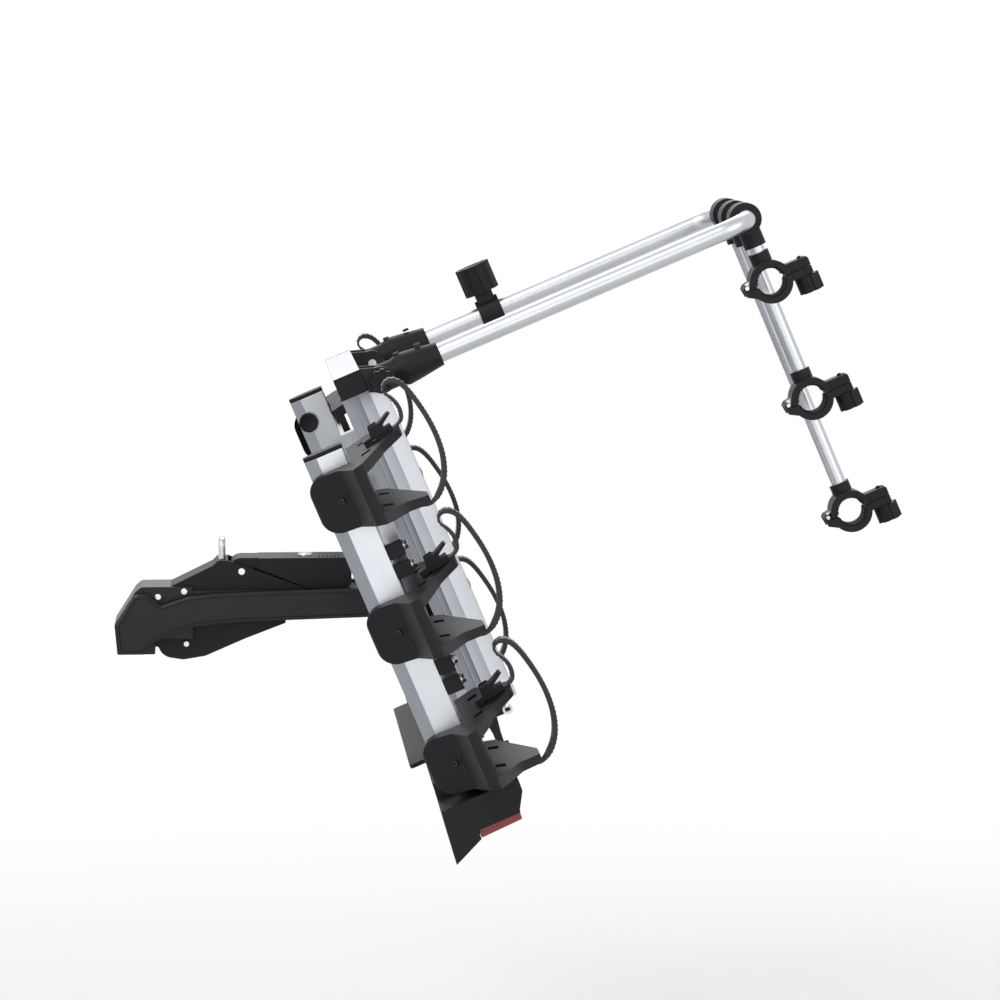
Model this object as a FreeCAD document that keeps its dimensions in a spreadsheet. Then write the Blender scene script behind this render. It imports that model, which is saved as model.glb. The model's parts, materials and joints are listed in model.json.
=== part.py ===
import FreeCAD, Part
import math
import os
import re
import Sketcher

# Tow-ball bike carrier for three bikes, standing in its tilted-back pose.
# Row frame: origin at the tow ball's centre, +X to the rear, +Y to the car's right, +Z up.
# Platform pieces are drawn in the platform's own frame: p rearward along the deck, y across,
# q square to the deck, with its origin on the tilt axle. The tilt turns that frame about +Y.

Vector = FreeCAD.Vector
SIDES = {"left": -1, "right": 1}

SIZES = {
    # where the deck hinges on the arm, and how far it is tilted back
    "axle_x": 350,
    "axle_z": 45,
    "tilt_angle": 67,
    # clearances
    "seat_gap": 0.3,
    "run_fit": 0.05,
    "swing_gap": 0.6,
    # coupling head over the tow ball
    "ball_dia": 50,
    "ball_gap": 0.3,
    "head_front": 33,
    "head_low": 30,
    "head_top": 67.5,
    "head_rear": 80,
    "head_wide": 90,
    "head_step": 8,
    "casting_round": 8,
    "jaw_wide": 19,
    "jaw_pin_x": 70,
    "jaw_pin_z": -17,
    "jaw_pin_dia": 8,
    "jaw_hub_dia": 16,
    # arm
    "rail_thick": 18,
    "rail_end_dia": 42,
    "rail_sweep": 60,
    "core_low": 24,
    "core_top": 62,
    "core_rear": 322,
    "core_wall": 4,
    "guard_wide": 60,
    "guard_deep": 40,
    "guard_rear": 213,
    "guard_round": 22,
    "cover_wide": 76,
    "cover_top": 104,
    "cover_round": 4,
    "lever_x": 150,
    "lever_z": 88,
    "lever_hub_dia": 38,
    "lever_wide": 64,
    "lever_rear": 308,
    "lever_pin_dia": 10,
    "lock_x": 242,
    "lock_dia": 18,
    "loop_x": 122,
    "loop_z": 130,
    "loop_dia": 10,
    "loop_half": 18,
    # tilt axle and its bearings
    "axle_dia": 16,
    "bush_dia": 22,
    "bush_flange_dia": 28,
    "flange_thick": 2,
    "nut_dia": 26,
    "nut_thick": 8,
    # pivot brackets
    "lug_thick": 8,
    "lug_gap": 1,
    "lug_dia": 40,
    "bracket_half": 62,
    "bracket_low": 66,
    "bracket_top": 116,
    "bracket_round": 6,
    # inner beams
    "inner_in": 105,
    "inner_wide": 30,
    "inner_low": 62,
    "inner_high": 64,
    "inner_front": -300,
    "inner_rear": 190,
    # outer beams
    "outer_y": 500,
    "outer_wide": 32,
    "outer_low": -15,
    "outer_top": 40,
    "outer_facet": 17,
    "outer_front": -270,
    "outer_rear": 170,
    "beam_wall": 2.5,
    "beam_round": 2.4,
    "cap_thick": 6,
    # square cross tubes
    "tube_side": 22,
    "tube_wall": 2,
    "tube_pair": 28,
    "tube_ahead": -103,
    "tube_behind": 65,
    "plug_thick": 6,
    # wheel holders and the flat rails that carry them
    "wheel_pitch": 190,
    "wheel_mid": -18,
    "flat_wide": 40,
    "flat_thick": 6,
    "holder_wide": 80,
    "holder_flare": 16,
    "holder_in": 320,
    "holder_out": 625,
    "holder_wall": 12,
    "holder_floor": 4,
    "holder_sweep": 30,
    "holder_round": 8,
    "peak_y": 470,
    "peak_q": 120,
    "inner_end_q": 72,
    "outer_end_q": 58,
    "skirt_low": -25,
    "skirt_thick": 4,
    "skirt_gap": 1.5,
    "strap_wide": 25,
    "strap_thick": 3,
    "strap_top": 158,
    "buckle_pin_dia": 4,
    # front crossmember and mast
    "front_bar_front": -332,
    "front_bar_high": 40,
    "front_bar_half": 205,
    "mast_y": 170,
    "mast_p": -305,
    "mast_hinge_q": 125,
    "mast_top_q": 690,
    "mast_tube_dia": 26,
    "mast_tube_wall": 2,
    "mast_bend": 45,
    "sleeve_dia": 40,
    "sleeve_belly": 48,
    "sleeve_top": 215,
    "ear_thick": 6,
    "ear_dia": 38,
    "mast_pin_dia": 12,
    "mast_knob_dia": 34,
    "mast_knob_long": 22,
    "leg_clamp_q": 317,
    "leg_clamp_dia": 42,
    "leg_clamp_high": 34,
    "big_knob_dia": 52,
    "big_knob_long": 42,
    # bike arms
    "arm_pitch": 100,
    "arm_dia": 22,
    "collar_dia": 46,
    "collar_wide": 40,
    "jaw_bore_dia": 44,
    "jaw_ring_dia": 62,
    "jaw_ring_wide": 40,
    "jaw_split_gap": 1.2,
    "jaw_round": 4,
    "jaw_hinge_dia": 6,
    "arm_knob_dia": 36,
    "arm_knob_long": 24,
    "arm_stud_dia": 6,
    # latch between deck and arm, and its pedal
    "claw_p": -224,
    "claw_q": 117,
    "claw_open": 45,
    "claw_wide": 15,
    "claw_hub_dia": 20,
    "shaft_dia": 10,
    "crank_y": -50,
    "crank_long": 12,
    "rod_dia": 8,
    "rod_eye_dia": 15,
    "rod_pin_dia": 5,
    "latch_bar_front": -262,
    "latch_bar_wide": 25,
    "latch_bar_low": 96,
    "rear_bar_front": 165,
    "rear_bar_high": 30,
    "pedal_p": 212,
    "pedal_swing": 18,
    "pedal_rear": 296,
    "pedal_wide": 18,
    "pad_wide": 36,
    # rear rail, lamps and number-plate holder
    "rail_front": 176,
    "rail_deep": 24,
    "rail_high": 40,
    "lamp_in": 300,
    "lamp_out": 560,
    "lamp_front": 223,
    "lamp_round": 4,
    "lens_rim": 10,
    "plate_half": 262,
    "plate_high": 112,
    "plate_top": 60,
    "plate_thick": 6,
    "plate_round": 5.5,
}

doc = FreeCAD.newDocument("BikeCarrier")
sheet = doc.addObject("Spreadsheet::Sheet", "Sizes")
for row, (alias, number) in enumerate(SIZES.items(), 1):
    sheet.set(f"A{row}", alias)
    sheet.set(f"B{row}", str(number))
    sheet.setAlias(f"B{row}", alias)
doc.recompute()

NAMES = re.compile(r"\b(" + "|".join(SIZES) + r")\b")
nodes = []


def value(text):
    """The number that a formula of sheet names gives."""
    result = sheet.evalExpression(str(text))
    return float(getattr(result, "Value", result))


def bind(item, prop, text):
    """Ties one property to a formula of sheet names."""
    item.setExpression(prop, NAMES.sub(r"Sizes.\1", str(text)))


def node(item, name):
    """Marks a finished sub-part, whose label names its file."""
    item.Label = name
    nodes.append(item)
    return item


def place(item, p="0", y="0", q="0", turn="0"):
    """Puts a piece at p, y, q of the tilted deck, turned about +Y against the deck by turn."""
    bind(item, "Placement.Base.x", f"axle_x + ({p}) * cos(tilt_angle) + ({q}) * sin(tilt_angle)")
    bind(item, "Placement.Base.y", y)
    bind(item, "Placement.Base.z", f"axle_z - ({p}) * sin(tilt_angle) + ({q}) * cos(tilt_angle)")
    item.Placement = FreeCAD.Placement(item.Placement.Base, FreeCAD.Rotation(Vector(0, 1, 0), 1))
    bind(item, "Placement.Rotation.Angle", f"tilt_angle + ({turn})")


def stand(item, x="0", y="0", z="0"):
    """Puts a piece at x, y, z of the row frame."""
    for axis, text in zip("xyz", (x, y, z)):
        bind(item, f"Placement.Base.{axis}", text)


def deck_placement(p=0.0, y=0.0, q=0.0):
    """The deck's placement as a value, for shapes that are set directly."""
    turn = FreeCAD.Rotation(Vector(0, 1, 0), value("tilt_angle"))
    hinge = Vector(value("axle_x"), 0, value("axle_z"))
    return FreeCAD.Placement(hinge + turn.multVec(Vector(p, y, q)), turn)


def new_body(name):
    """An empty body."""
    return doc.addObject("PartDesign::Body", name)


def draw(body, plane, loops, lift="0"):
    """A sketch of closed loops on one of the body's planes; a loop is corners or a circle."""
    sketch = body.newObject("Sketcher::SketchObject", f"{body.Name}_sketch")
    support = next(f for f in body.Origin.OriginFeatures if f.Role == plane + "_Plane")
    sketch.AttachmentSupport = [(support, "")]
    sketch.MapMode = "FlatFace"
    bind(sketch, "AttachmentOffset.Base.z", lift)
    for loop in loops:
        if loop[0] == "circle":
            draw_circle(sketch, *loop[1:])
        else:
            draw_corners(sketch, loop)
    return sketch


def fix_point(sketch, geometry, point, across, up):
    """Holds one sketch point at a pair of formulas."""
    for kind, text in (("DistanceX", across), ("DistanceY", up)):
        rule = Sketcher.Constraint(kind, -1, 1, geometry, point, value(text))
        bind(sketch, f"Constraints[{sketch.addConstraint(rule)}]", text)


def draw_circle(sketch, across, up, radius):
    """A circle whose centre and radius follow formulas."""
    circle = Part.Circle(Vector(value(across), value(up), 0), Vector(0, 0, 1), value(radius))
    index = sketch.addGeometry(circle, False)
    fix_point(sketch, index, 3, across, up)
    rule = Sketcher.Constraint("Radius", index, value(radius))
    bind(sketch, f"Constraints[{sketch.addConstraint(rule)}]", radius)


def draw_corners(sketch, corners):
    """A closed loop of straight edges whose corners follow formulas."""
    spots = [Vector(value(a), value(b), 0) for a, b in corners]
    count = len(spots)
    lines = [Part.LineSegment(spots[i], spots[(i + 1) % count]) for i in range(count)]
    first = sketch.addGeometry(lines, False)[0]
    for i, (across, up) in enumerate(corners):
        link = Sketcher.Constraint("Coincident", first + i, 2, first + (i + 1) % count, 1)
        sketch.addConstraint(link)
        fix_point(sketch, first + i, 1, across, up)


def pad(body, plane, loops, length, lift="0"):
    """Adds the loops, padded by half the length to each side of their plane."""
    feature = body.newObject("PartDesign::Pad", f"{body.Name}_pad")
    feature.Profile = draw(body, plane, loops, lift)
    feature.Midplane = True
    bind(feature, "Length", length)
    body.Tip = feature
    doc.recompute()
    return feature


def cut(body, plane, loops, length, lift="0"):
    """Cuts the loops away by half the length to each side of their plane."""
    before = body.Shape.Volume
    feature = body.newObject("PartDesign::Pocket", f"{body.Name}_pocket")
    feature.Profile = draw(body, plane, loops, lift)
    feature.Midplane = True
    bind(feature, "Length", length)
    body.Tip = feature
    doc.recompute()
    if not body.Shape.Volume < before:
        raise RuntimeError(f"{body.Name}: a pocket removes nothing")
    return feature


def revolve(body, corners, role="XZ"):
    """Adds a solid of revolution from corners given as radius and height."""
    feature = body.newObject("PartDesign::Revolution", f"{body.Name}_turned")
    feature.Profile = draw(body, role, [corners])
    feature.ReferenceAxis = (feature.Profile[0], ["V_Axis"])
    feature.Angle = 360
    body.Tip = feature
    doc.recompute()
    return feature


def turned(name, corners, role="XY"):
    """A body revolved from corners given as radius and height."""
    body = new_body(name)
    revolve(body, corners, role)
    return body


def edges_along(shape, axis, spots):
    """Names of the straight edges along an axis that pass through the given spots."""
    rest = [i for i in range(3) if i != "xyz".index(axis)]
    found = []
    for number, edge in enumerate(shape.Edges, 1):
        ends = [v.Point for v in edge.Vertexes]
        if len(ends) != 2 or any(abs(ends[0][i] - ends[1][i]) > 1e-4 for i in rest):
            continue
        if any(all(abs(ends[0][i] - s[k]) < 1e-3 for k, i in enumerate(rest)) for s in spots):
            found.append(f"Edge{number}")
    return found


def soften(body, radius, axis, corners):
    """Rounds the edges that run along an axis through the given corners."""
    base = body.Tip
    edges = edges_along(base.Shape, axis, [(value(a), value(b)) for a, b in corners])
    feature = body.newObject("PartDesign::Fillet", f"{body.Name}_fillet")
    feature.Base = (base, edges)
    bind(feature, "Radius", radius)
    body.Tip = feature
    doc.recompute()
    if not edges or not feature.Shape.isValid() or feature.Shape.Volume <= 0:
        raise RuntimeError(f"{body.Name}: {len(edges)} edges found, and no rounding made")
    return feature


def cylinder(name, radius, length, bore=None):
    """A round bar or ring along +Y, centred on its own origin."""
    across = [("0", f"-({length}) / 2"), (radius, f"-({length}) / 2")]
    across += [(radius, f"({length}) / 2"), ("0", f"({length}) / 2")]
    if bore is not None:
        across[0] = (bore, across[0][1])
        across[3] = (bore, across[3][1])
    return turned(name, across)


def group(name, members):
    """One node that holds several like pieces as separate solids."""
    item = doc.addObject("Part::Compound", name)
    item.Links = members
    doc.recompute()
    return node(item, name)


def bent_tube(points, bend, radius, bore=0.0):
    """A round tube along straight runs that are joined by tangent arcs."""

    def section(centre, along):
        """The tube's end face, square to its run."""
        rings = [Part.Wire([Part.Circle(centre, along, r).toShape()]) for r in (radius, bore) if r]
        return Part.Face(rings, "Part::FaceMakerBullseye")

    runs = []
    start = points[0]
    for corner, after in zip(points[1:-1], points[2:]):
        back = (start - corner).normalize()
        ahead = (after - corner).normalize()
        half = back.getAngle(ahead) / 2
        reach = bend / math.tan(half)
        centre = corner + (back + ahead).normalize() * (bend / math.sin(half))
        enter, leave = corner + back * reach, corner + ahead * reach
        runs.append(section(start, back).extrude(enter - start))
        axis = (enter - centre).cross(leave - centre)
        turn = 180 - math.degrees(2 * half)
        runs.append(section(enter, back).revolve(centre, axis, turn))
        start = leave
    runs.append(section(start, points[-1] - start).extrude(points[-1] - start))
    return runs[0].multiFuse(runs[1:]).removeSplitter()


def set_shape(name, shape, placement=None):
    """A sub-part whose shape is set directly, placed after its shape."""
    item = doc.addObject("Part::Feature", name)
    item.Shape = shape
    if placement is not None:
        item.Placement = placement
    return item


def box_corners(low_a, low_b, high_a, high_b):
    """The corners of a rectangle between two opposite ones."""
    return [(low_a, low_b), (high_a, low_b), (high_a, high_b), (low_a, high_b)]


# Coupling head: a casting with a ball socket, open below, and a slot for the clamp jaw.
def make_head():
    body = new_body("coupling_head")
    outline = [("4 - head_front", "-head_low"), ("-head_front", "13"), ("-3", "head_top - 7.5")]
    outline += [("6", "head_top"), ("head_rear", "head_top"), ("head_rear", "-head_step")]
    outline += [("ball_dia / 2", "-head_step"), ("ball_dia / 2", "-head_low")]
    pad(body, "XZ", [outline], "head_wide")
    soften(body, "casting_round", "y", outline[1:4])
    cut(body, "XY", [("circle", "0", "0", "ball_dia / 2 + ball_gap")], "head_low * 2", "-head_low")
    ball = body.newObject("PartDesign::SubtractiveSphere", "coupling_head_socket")
    bind(ball, "Radius", "ball_dia / 2 + ball_gap")
    body.Tip = ball
    doc.recompute()
    slot = box_corners("0", "-head_low - 5", "head_rear + 5", "2")
    cut(body, "XZ", [slot], "jaw_wide + 2 * swing_gap")
    node(body, "coupling_head")


# Clamp jaw: a hinged finger under the ball, with a ball-shaped seat.
def make_jaw():
    body = new_body("clamp_jaw")
    finger = [("jaw_pin_x - 8", "jaw_pin_z - 7.9"), ("jaw_pin_x - 30", "jaw_pin_z - 11")]
    finger += [("jaw_pin_x - 48", "jaw_pin_z - 5"), ("jaw_pin_x - 51", "jaw_pin_z + 5")]
    finger += [("jaw_pin_x - 40", "jaw_pin_z + 14"), ("jaw_pin_x", "jaw_pin_z + 7.9")]
    finger += [("jaw_pin_x", "jaw_pin_z - 7.9")]
    pad(body, "XZ", [finger], "jaw_wide")
    pad(body, "XZ", [("circle", "jaw_pin_x", "jaw_pin_z", "jaw_hub_dia / 2")], "jaw_wide")
    ball = body.newObject("PartDesign::SubtractiveSphere", "clamp_jaw_seat")
    bind(ball, "Radius", "ball_dia / 2 + ball_gap")
    body.Tip = ball
    doc.recompute()
    bore = ("circle", "jaw_pin_x", "jaw_pin_z", "jaw_pin_dia / 2 + run_fit")
    cut(body, "XZ", [bore], "jaw_wide * 2")
    node(body, "clamp_jaw")


# Side rails: cheeks on the head that sweep back as the arm and end round the tilt axle.
def make_rails():
    outline = [("4 - head_front + 2", "2 - head_low"), ("2 - head_front", "13")]
    outline += [("-3", "head_top - 9.5"), ("14", "head_top - 9.5"), ("34", "42"), ("73", "55")]
    outline += [("113", "59"), ("193", "62"), ("axle_x", "axle_z + rail_end_dia / 2")]
    outline += [("axle_x", "axle_z - rail_end_dia / 2"), ("228", "21"), ("142", "18")]
    outline += [("85", "12.5"), ("45", "0"), ("19", "-13"), ("10", "2 - head_low")]
    for side, sign in SIDES.items():
        body = new_body(f"arm_rail_{side}")
        pad(body, "XZ", [outline], "rail_thick")
        soften(body, "rail_sweep", "y", outline[5:8] + outline[10:14])
        soften(body, "casting_round", "y", outline[1:5] + outline[14:15])
        pad(body, "XZ", [("circle", "axle_x", "axle_z", "rail_end_dia / 2")], "rail_thick")
        cut(body, "XZ", [("circle", "axle_x", "axle_z", "axle_dia / 2")], "rail_thick * 2")
        stand(body, "0", f"{sign} * (head_wide + rail_thick) / 2", "0")
        node(body, f"arm_rail_{side}")


# Arm core: the box section between the rails, open at the rear.
def make_core():
    body = new_body("arm_core")
    pad(body, "XZ", [box_corners("head_rear", "core_low", "core_rear", "core_top")], "head_wide")
    hollow = box_corners("head_rear + core_wall", "core_low + core_wall",
                         "core_rear + 5", "core_top - core_wall")
    cut(body, "XZ", [hollow], "head_wide - 2 * core_wall")
    node(body, "arm_core")


# Lower guard: the keel under the arm, slotted for the jaw.
def make_guard():
    body = new_body("lower_guard")
    outline = [("ball_dia / 2 + 1", "-head_step"), ("34", "-guard_deep + 5"), ("65", "-guard_deep")]
    outline += [("97", "-guard_deep + 5"), ("155", "-10"), ("guard_rear", "12")]
    outline += [("guard_rear", "core_low"), ("head_rear", "core_low"), ("head_rear", "-head_step")]
    pad(body, "XZ", [outline], "guard_wide")
    soften(body, "guard_round", "y", outline[1:5])
    slot = box_corners("0", "-guard_deep - 5", "jaw_pin_x + 12", "core_low + 5")
    cut(body, "XZ", [slot], "jaw_wide + 2 * swing_gap")
    bore = ("circle", "jaw_pin_x", "jaw_pin_z", "jaw_pin_dia / 2")
    cut(body, "XZ", [bore], "guard_wide * 2")
    node(body, "lower_guard")


# Top cover: slopes up from the head and cradles the hub of the clamp lever.
def make_cover():
    body = new_body("top_cover")
    outline = [("48", "head_top"), ("109", "cover_top - 7"), ("116", "cover_top")]
    outline += [("131", "cover_top"), ("240", "core_top + 2"), ("240", "core_top")]
    outline += [("head_rear", "core_top"), ("head_rear", "head_top")]
    pad(body, "XZ", [outline], "cover_wide")
    soften(body, "cover_round", "y", outline[1:4])
    hub = ("circle", "lever_x", "lever_z", "lever_hub_dia / 2 + swing_gap")
    cut(body, "XZ", [hub], "lever_wide + 2 * swing_gap")
    well = box_corners("lever_x - lever_hub_dia / 2 - swing_gap", "lever_z", "lever_x", "cover_top + 5")
    cut(body, "XZ", [well], "lever_wide + 2 * swing_gap")
    cut(body, "XZ", [("circle", "lever_x", "lever_z", "lever_pin_dia / 2")], "cover_wide * 2")
    node(body, "top_cover")


# Clamp lever: lies on the arm and lifts at its rear end to free the ball.
def make_lever():
    body = new_body("clamp_lever")
    top = "lever_z + lever_hub_dia / 2"
    low = "core_top + 2 * swing_gap"
    neck = "lever_x + 24"
    outline = [(neck, top), ("lever_rear - 8", top), ("lever_rear", "lever_z + 12")]
    outline += [("lever_rear", "lever_z - 18"), ("lever_rear - 6", low), ("245", low)]
    outline += [(neck, "cover_top - 12")]
    pad(body, "XZ", [outline], "cover_wide")
    soften(body, "cover_round", "y", outline[1:5])
    link = [("lever_x", "cover_top - 4"), (neck, "cover_top - 12"), (neck, top), ("lever_x", top)]
    pad(body, "XZ", [link], "lever_wide")
    pad(body, "XZ", [("circle", "lever_x", "lever_z", "lever_hub_dia / 2")], "lever_wide")
    bore = ("circle", "lever_x", "lever_z", "lever_pin_dia / 2 + run_fit")
    cut(body, "XZ", [bore], "cover_wide * 2")
    # finger hollow under the rear end
    grip = box_corners("lever_rear - 34", "core_top - 5", "lever_rear - 8", "lever_z - 8")
    cut(body, "XZ", [grip], "cover_wide - 16")
    well = ("circle", "lock_x", "0", "lock_dia / 2 + run_fit")
    cut(body, "XY", [well], "30", top)
    node(body, "clamp_lever")
    barrel = turned("lock_barrel", [("0", "-14.5"), ("lock_dia / 2", "-14.5"), ("lock_dia / 2", "0"),
                                    ("lock_dia / 2 + 2", "0.3"), ("lock_dia / 2 + 1", "3"),
                                    ("0", "3")], "XZ")
    cut(barrel, "XY", [box_corners("-4.5", "-1.2", "4.5", "1.2")], "4", "3")
    stand(barrel, "lock_x", "0", top)
    node(barrel, "lock_barrel")


# Striker loop: a bent round bar on the cover, which the deck's claw holds when driving.
def make_loop():
    half, top = value("loop_half"), value("loop_z")
    x, low = value("loop_x"), value("cover_top")
    path = [Vector(x, -half, low), Vector(x, -half, top), Vector(x, half, top), Vector(x, half, low)]
    node(set_shape("striker_loop", bent_tube(path, 9, value("loop_dia / 2"))), "striker_loop")


# Pins of the jaw and the lever, and the screws on the sides of the head.
def make_coupling_pins():
    jaw_pin = cylinder("jaw_pin", "jaw_pin_dia / 2", "guard_wide + 6")
    stand(jaw_pin, "jaw_pin_x", "0", "jaw_pin_z")
    lever_pin = cylinder("lever_pin", "lever_pin_dia / 2", "cover_wide")
    stand(lever_pin, "lever_x", "0", "lever_z")
    members = [jaw_pin, lever_pin]
    for x, z in (("30", "head_top - 14.5"), ("head_rear - 12.5", "head_top - 7")):
        for sign in (-1, 1):
            screw = cylinder("head_screw", "4.5", "6")
            stand(screw, x, f"{sign} * (head_wide / 2 + 3)", z)
            members.append(screw)
    group("coupling_pins", members)


# Tilt axle through the rails, with its nuts and the deck's flanged bushes.
def make_axle():
    lug_in = "(head_wide / 2 + rail_thick + lug_gap)"
    face = f"({lug_in} + lug_thick + flange_thick + seat_gap)"
    axle = cylinder("axle_bar", "axle_dia / 2", f"2 * ({face} + nut_thick)")
    stand(axle, "axle_x", "0", "axle_z")
    nuts, bushes = [], []
    for side, sign in SIDES.items():
        nut = new_body(f"axle_nut_{side}")
        ring = [(f"nut_dia / 2 * cos({60 * k})", f"nut_dia / 2 * sin({60 * k})") for k in range(6)]
        pad(nut, "XZ", [ring, ("circle", "0", "0", "axle_dia / 2")], "nut_thick")
        stand(nut, "axle_x", f"{sign} * ({face} + nut_thick / 2)", "axle_z")
        nuts.append(nut)
        bore = "axle_dia / 2 + run_fit"
        inner, outer = "0", f"{sign} * lug_thick"
        rim = f"{sign} * (lug_thick + flange_thick)"
        bush = turned(f"bush_{side}", [(bore, inner), ("bush_dia / 2", inner),
                                       ("bush_dia / 2", outer), ("bush_flange_dia / 2", outer),
                                       ("bush_flange_dia / 2", rim), (bore, rim)])
        place(bush, "0", f"{sign} * {lug_in}", "0")
        bushes.append(bush)
    group("tilt_axle", [axle] + nuts)
    group("pivot_bushes", bushes)


# Pivot brackets: lugs round the bushes that spread out to the inner beams.
def make_brackets():
    lug_in = "(head_wide / 2 + rail_thick + lug_gap)"
    lug = [("-lug_dia / 2", "0"), ("-bracket_half", "bracket_low"), ("-bracket_half", "bracket_top")]
    lug += [("bracket_half", "bracket_top"), ("bracket_half", "bracket_low"), ("lug_dia / 2", "0")]
    block = box_corners("-bracket_half", "bracket_low", "bracket_half", "bracket_top")
    brackets = []
    for side, sign in SIDES.items():
        body = new_body(f"pivot_bracket_{side}")
        pad(body, "XZ", [lug], "lug_thick")
        soften(body, "bracket_round", "y", lug[1:5])
        pad(body, "XZ", [("circle", "0", "0", "lug_dia / 2")], "lug_thick")
        cut(body, "XZ", [("circle", "0", "0", "bush_dia / 2")], "lug_thick * 2")
        reach = f"(inner_in - {lug_in} - lug_thick)"
        lift = f"{-sign} * (lug_thick + {reach}) / 2"
        pad(body, "XZ", [block], reach, lift)
        for low, high in (("-bracket_half + 6", "-4"), ("4", "bracket_half - 6")):
            hole = box_corners(low, "bracket_low + 6", high, "bracket_top + 5")
            cut(body, "XZ", [hole], f"{reach} - 8", lift)
        place(body, "0", f"{sign} * ({lug_in} + lug_thick / 2)", "0")
        brackets.append(body)
    group("pivot_brackets", brackets)


# Inner beams: extrusions with a T-slot and a slanting facet on their outer sides.
def make_inner_beams():
    low, high = "inner_low", "(inner_low + inner_high)"
    length = "inner_rear - inner_front"
    for side, sign in SIDES.items():
        outer = "(inner_in + inner_wide)"
        shape = [("inner_in", low), (outer, low), (outer, f"{low} + 14"),
                 (f"{outer} + 1.5", f"{low} + 14"), (f"{outer} + 1.5", f"{low} + 17"),
                 (f"{outer} - 6", f"{low} + 17"), (f"{outer} - 6", f"{low} + 24"),
                 (outer, f"{low} + 24"), (f"{outer} - 8", f"{low} + 41"),
                 (f"{outer} - 8", f"{high}"), ("inner_in", f"{high}")]
        void = box_corners("inner_in + 3", f"{low} + 3", f"{outer} - 11", f"{high} - 3")
        loops = [[(f"{sign} * ({a})", b) for a, b in loop] for loop in (shape, void)]
        body = new_body(f"inner_beam_{side}")
        pad(body, "YZ", loops, length)
        place(body, "(inner_front + inner_rear) / 2")
        node(body, f"inner_beam_{side}")


# Outer beams: closed extrusions with a slanting lower facet, capped at both ends.
def make_outer_beams():
    length = "outer_rear - outer_front"
    caps = []

    def section(grow):
        half = f"(outer_wide / 2 + {grow})"
        low, top = f"(outer_low - {grow})", f"(outer_top + {grow})"
        return [(f"-{half}", top), (half, top), (half, f"{low} + outer_facet"),
                (f"{half} - 9", low), (f"9 - {half}", low), (f"-{half}", f"{low} + outer_facet")]

    for side, sign in SIDES.items():
        body = new_body(f"outer_beam_{side}")
        pad(body, "YZ", [section("0"), section("-beam_wall")], length)
        soften(body, "beam_round", "x", section("0"))
        place(body, "(outer_front + outer_rear) / 2", f"{sign} * outer_y")
        node(body, f"outer_beam_{side}")
        for spot in ("outer_front - cap_thick / 2", "outer_rear + cap_thick / 2"):
            cap = new_body("beam_cap")
            pad(cap, "YZ", [section("0")], "cap_thick")
            place(cap, spot, f"{sign} * outer_y")
            caps.append(cap)
    return caps


# Square cross tubes, four a side, from the inner beam out over the outer beam, with plugs.
def make_cross_tubes():
    tubes, plugs = [], []
    out = "(outer_y + outer_wide / 2 - 2)"
    middle = f"(inner_in + {out}) / 2"
    for sign in SIDES.values():
        for centre in ("tube_ahead", "tube_behind"):
            for step in (-1, 1):
                spot = f"{centre} + {step} * tube_pair / 2"
                side_box = box_corners("-tube_side / 2", "0", "tube_side / 2", "tube_side")
                bore = box_corners("tube_wall - tube_side / 2", "tube_wall",
                                   "tube_side / 2 - tube_wall", "tube_side - tube_wall")
                tube = new_body("cross_tube")
                pad(tube, "XZ", [side_box, bore], f"{out} - inner_in")
                place(tube, spot, f"{sign} * {middle}", "outer_top")
                tubes.append(tube)
                for edge, turn in ((out, 1), ("inner_in", -1)):
                    plug = new_body("tube_plug")
                    pad(plug, "XZ", [side_box], "plug_thick")
                    place(plug, spot, f"{sign} * ({edge} + {turn} * plug_thick / 2)", "outer_top")
                    plugs.append(plug)
    group("cross_tubes", tubes)
    return plugs


def wheel_spots():
    """Formulas for p at the middle of the three wheel places, front to rear."""
    return [f"(wheel_mid + {k} * wheel_pitch)" for k in (-1, 0, 1)]


# Flat rails under the wheel holders, packed up to the inner beams.
def make_flat_rails():
    members = []
    for sign in SIDES.values():
        out = "(outer_y + outer_wide / 2 - 2)"
        for spot in wheel_spots():
            bar = new_body("flat_rail")
            flat = box_corners("-flat_wide / 2", "0", "flat_wide / 2", "flat_thick")
            pad(bar, "XZ", [flat], f"{out} - inner_in")
            place(bar, spot, f"{sign} * ({out} + inner_in) / 2", "outer_top")
            packer = new_body("rail_packer")
            high = "inner_low - outer_top - flat_thick"
            block = box_corners("-flat_wide / 2", "0", "flat_wide / 2", high)
            pad(packer, "XZ", [block], "inner_wide")
            middle = f"{sign} * (inner_in + inner_wide / 2)"
            place(packer, spot, middle, "outer_top + flat_thick")
            members += [bar, packer]
    group("holder_rails", members)


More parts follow.
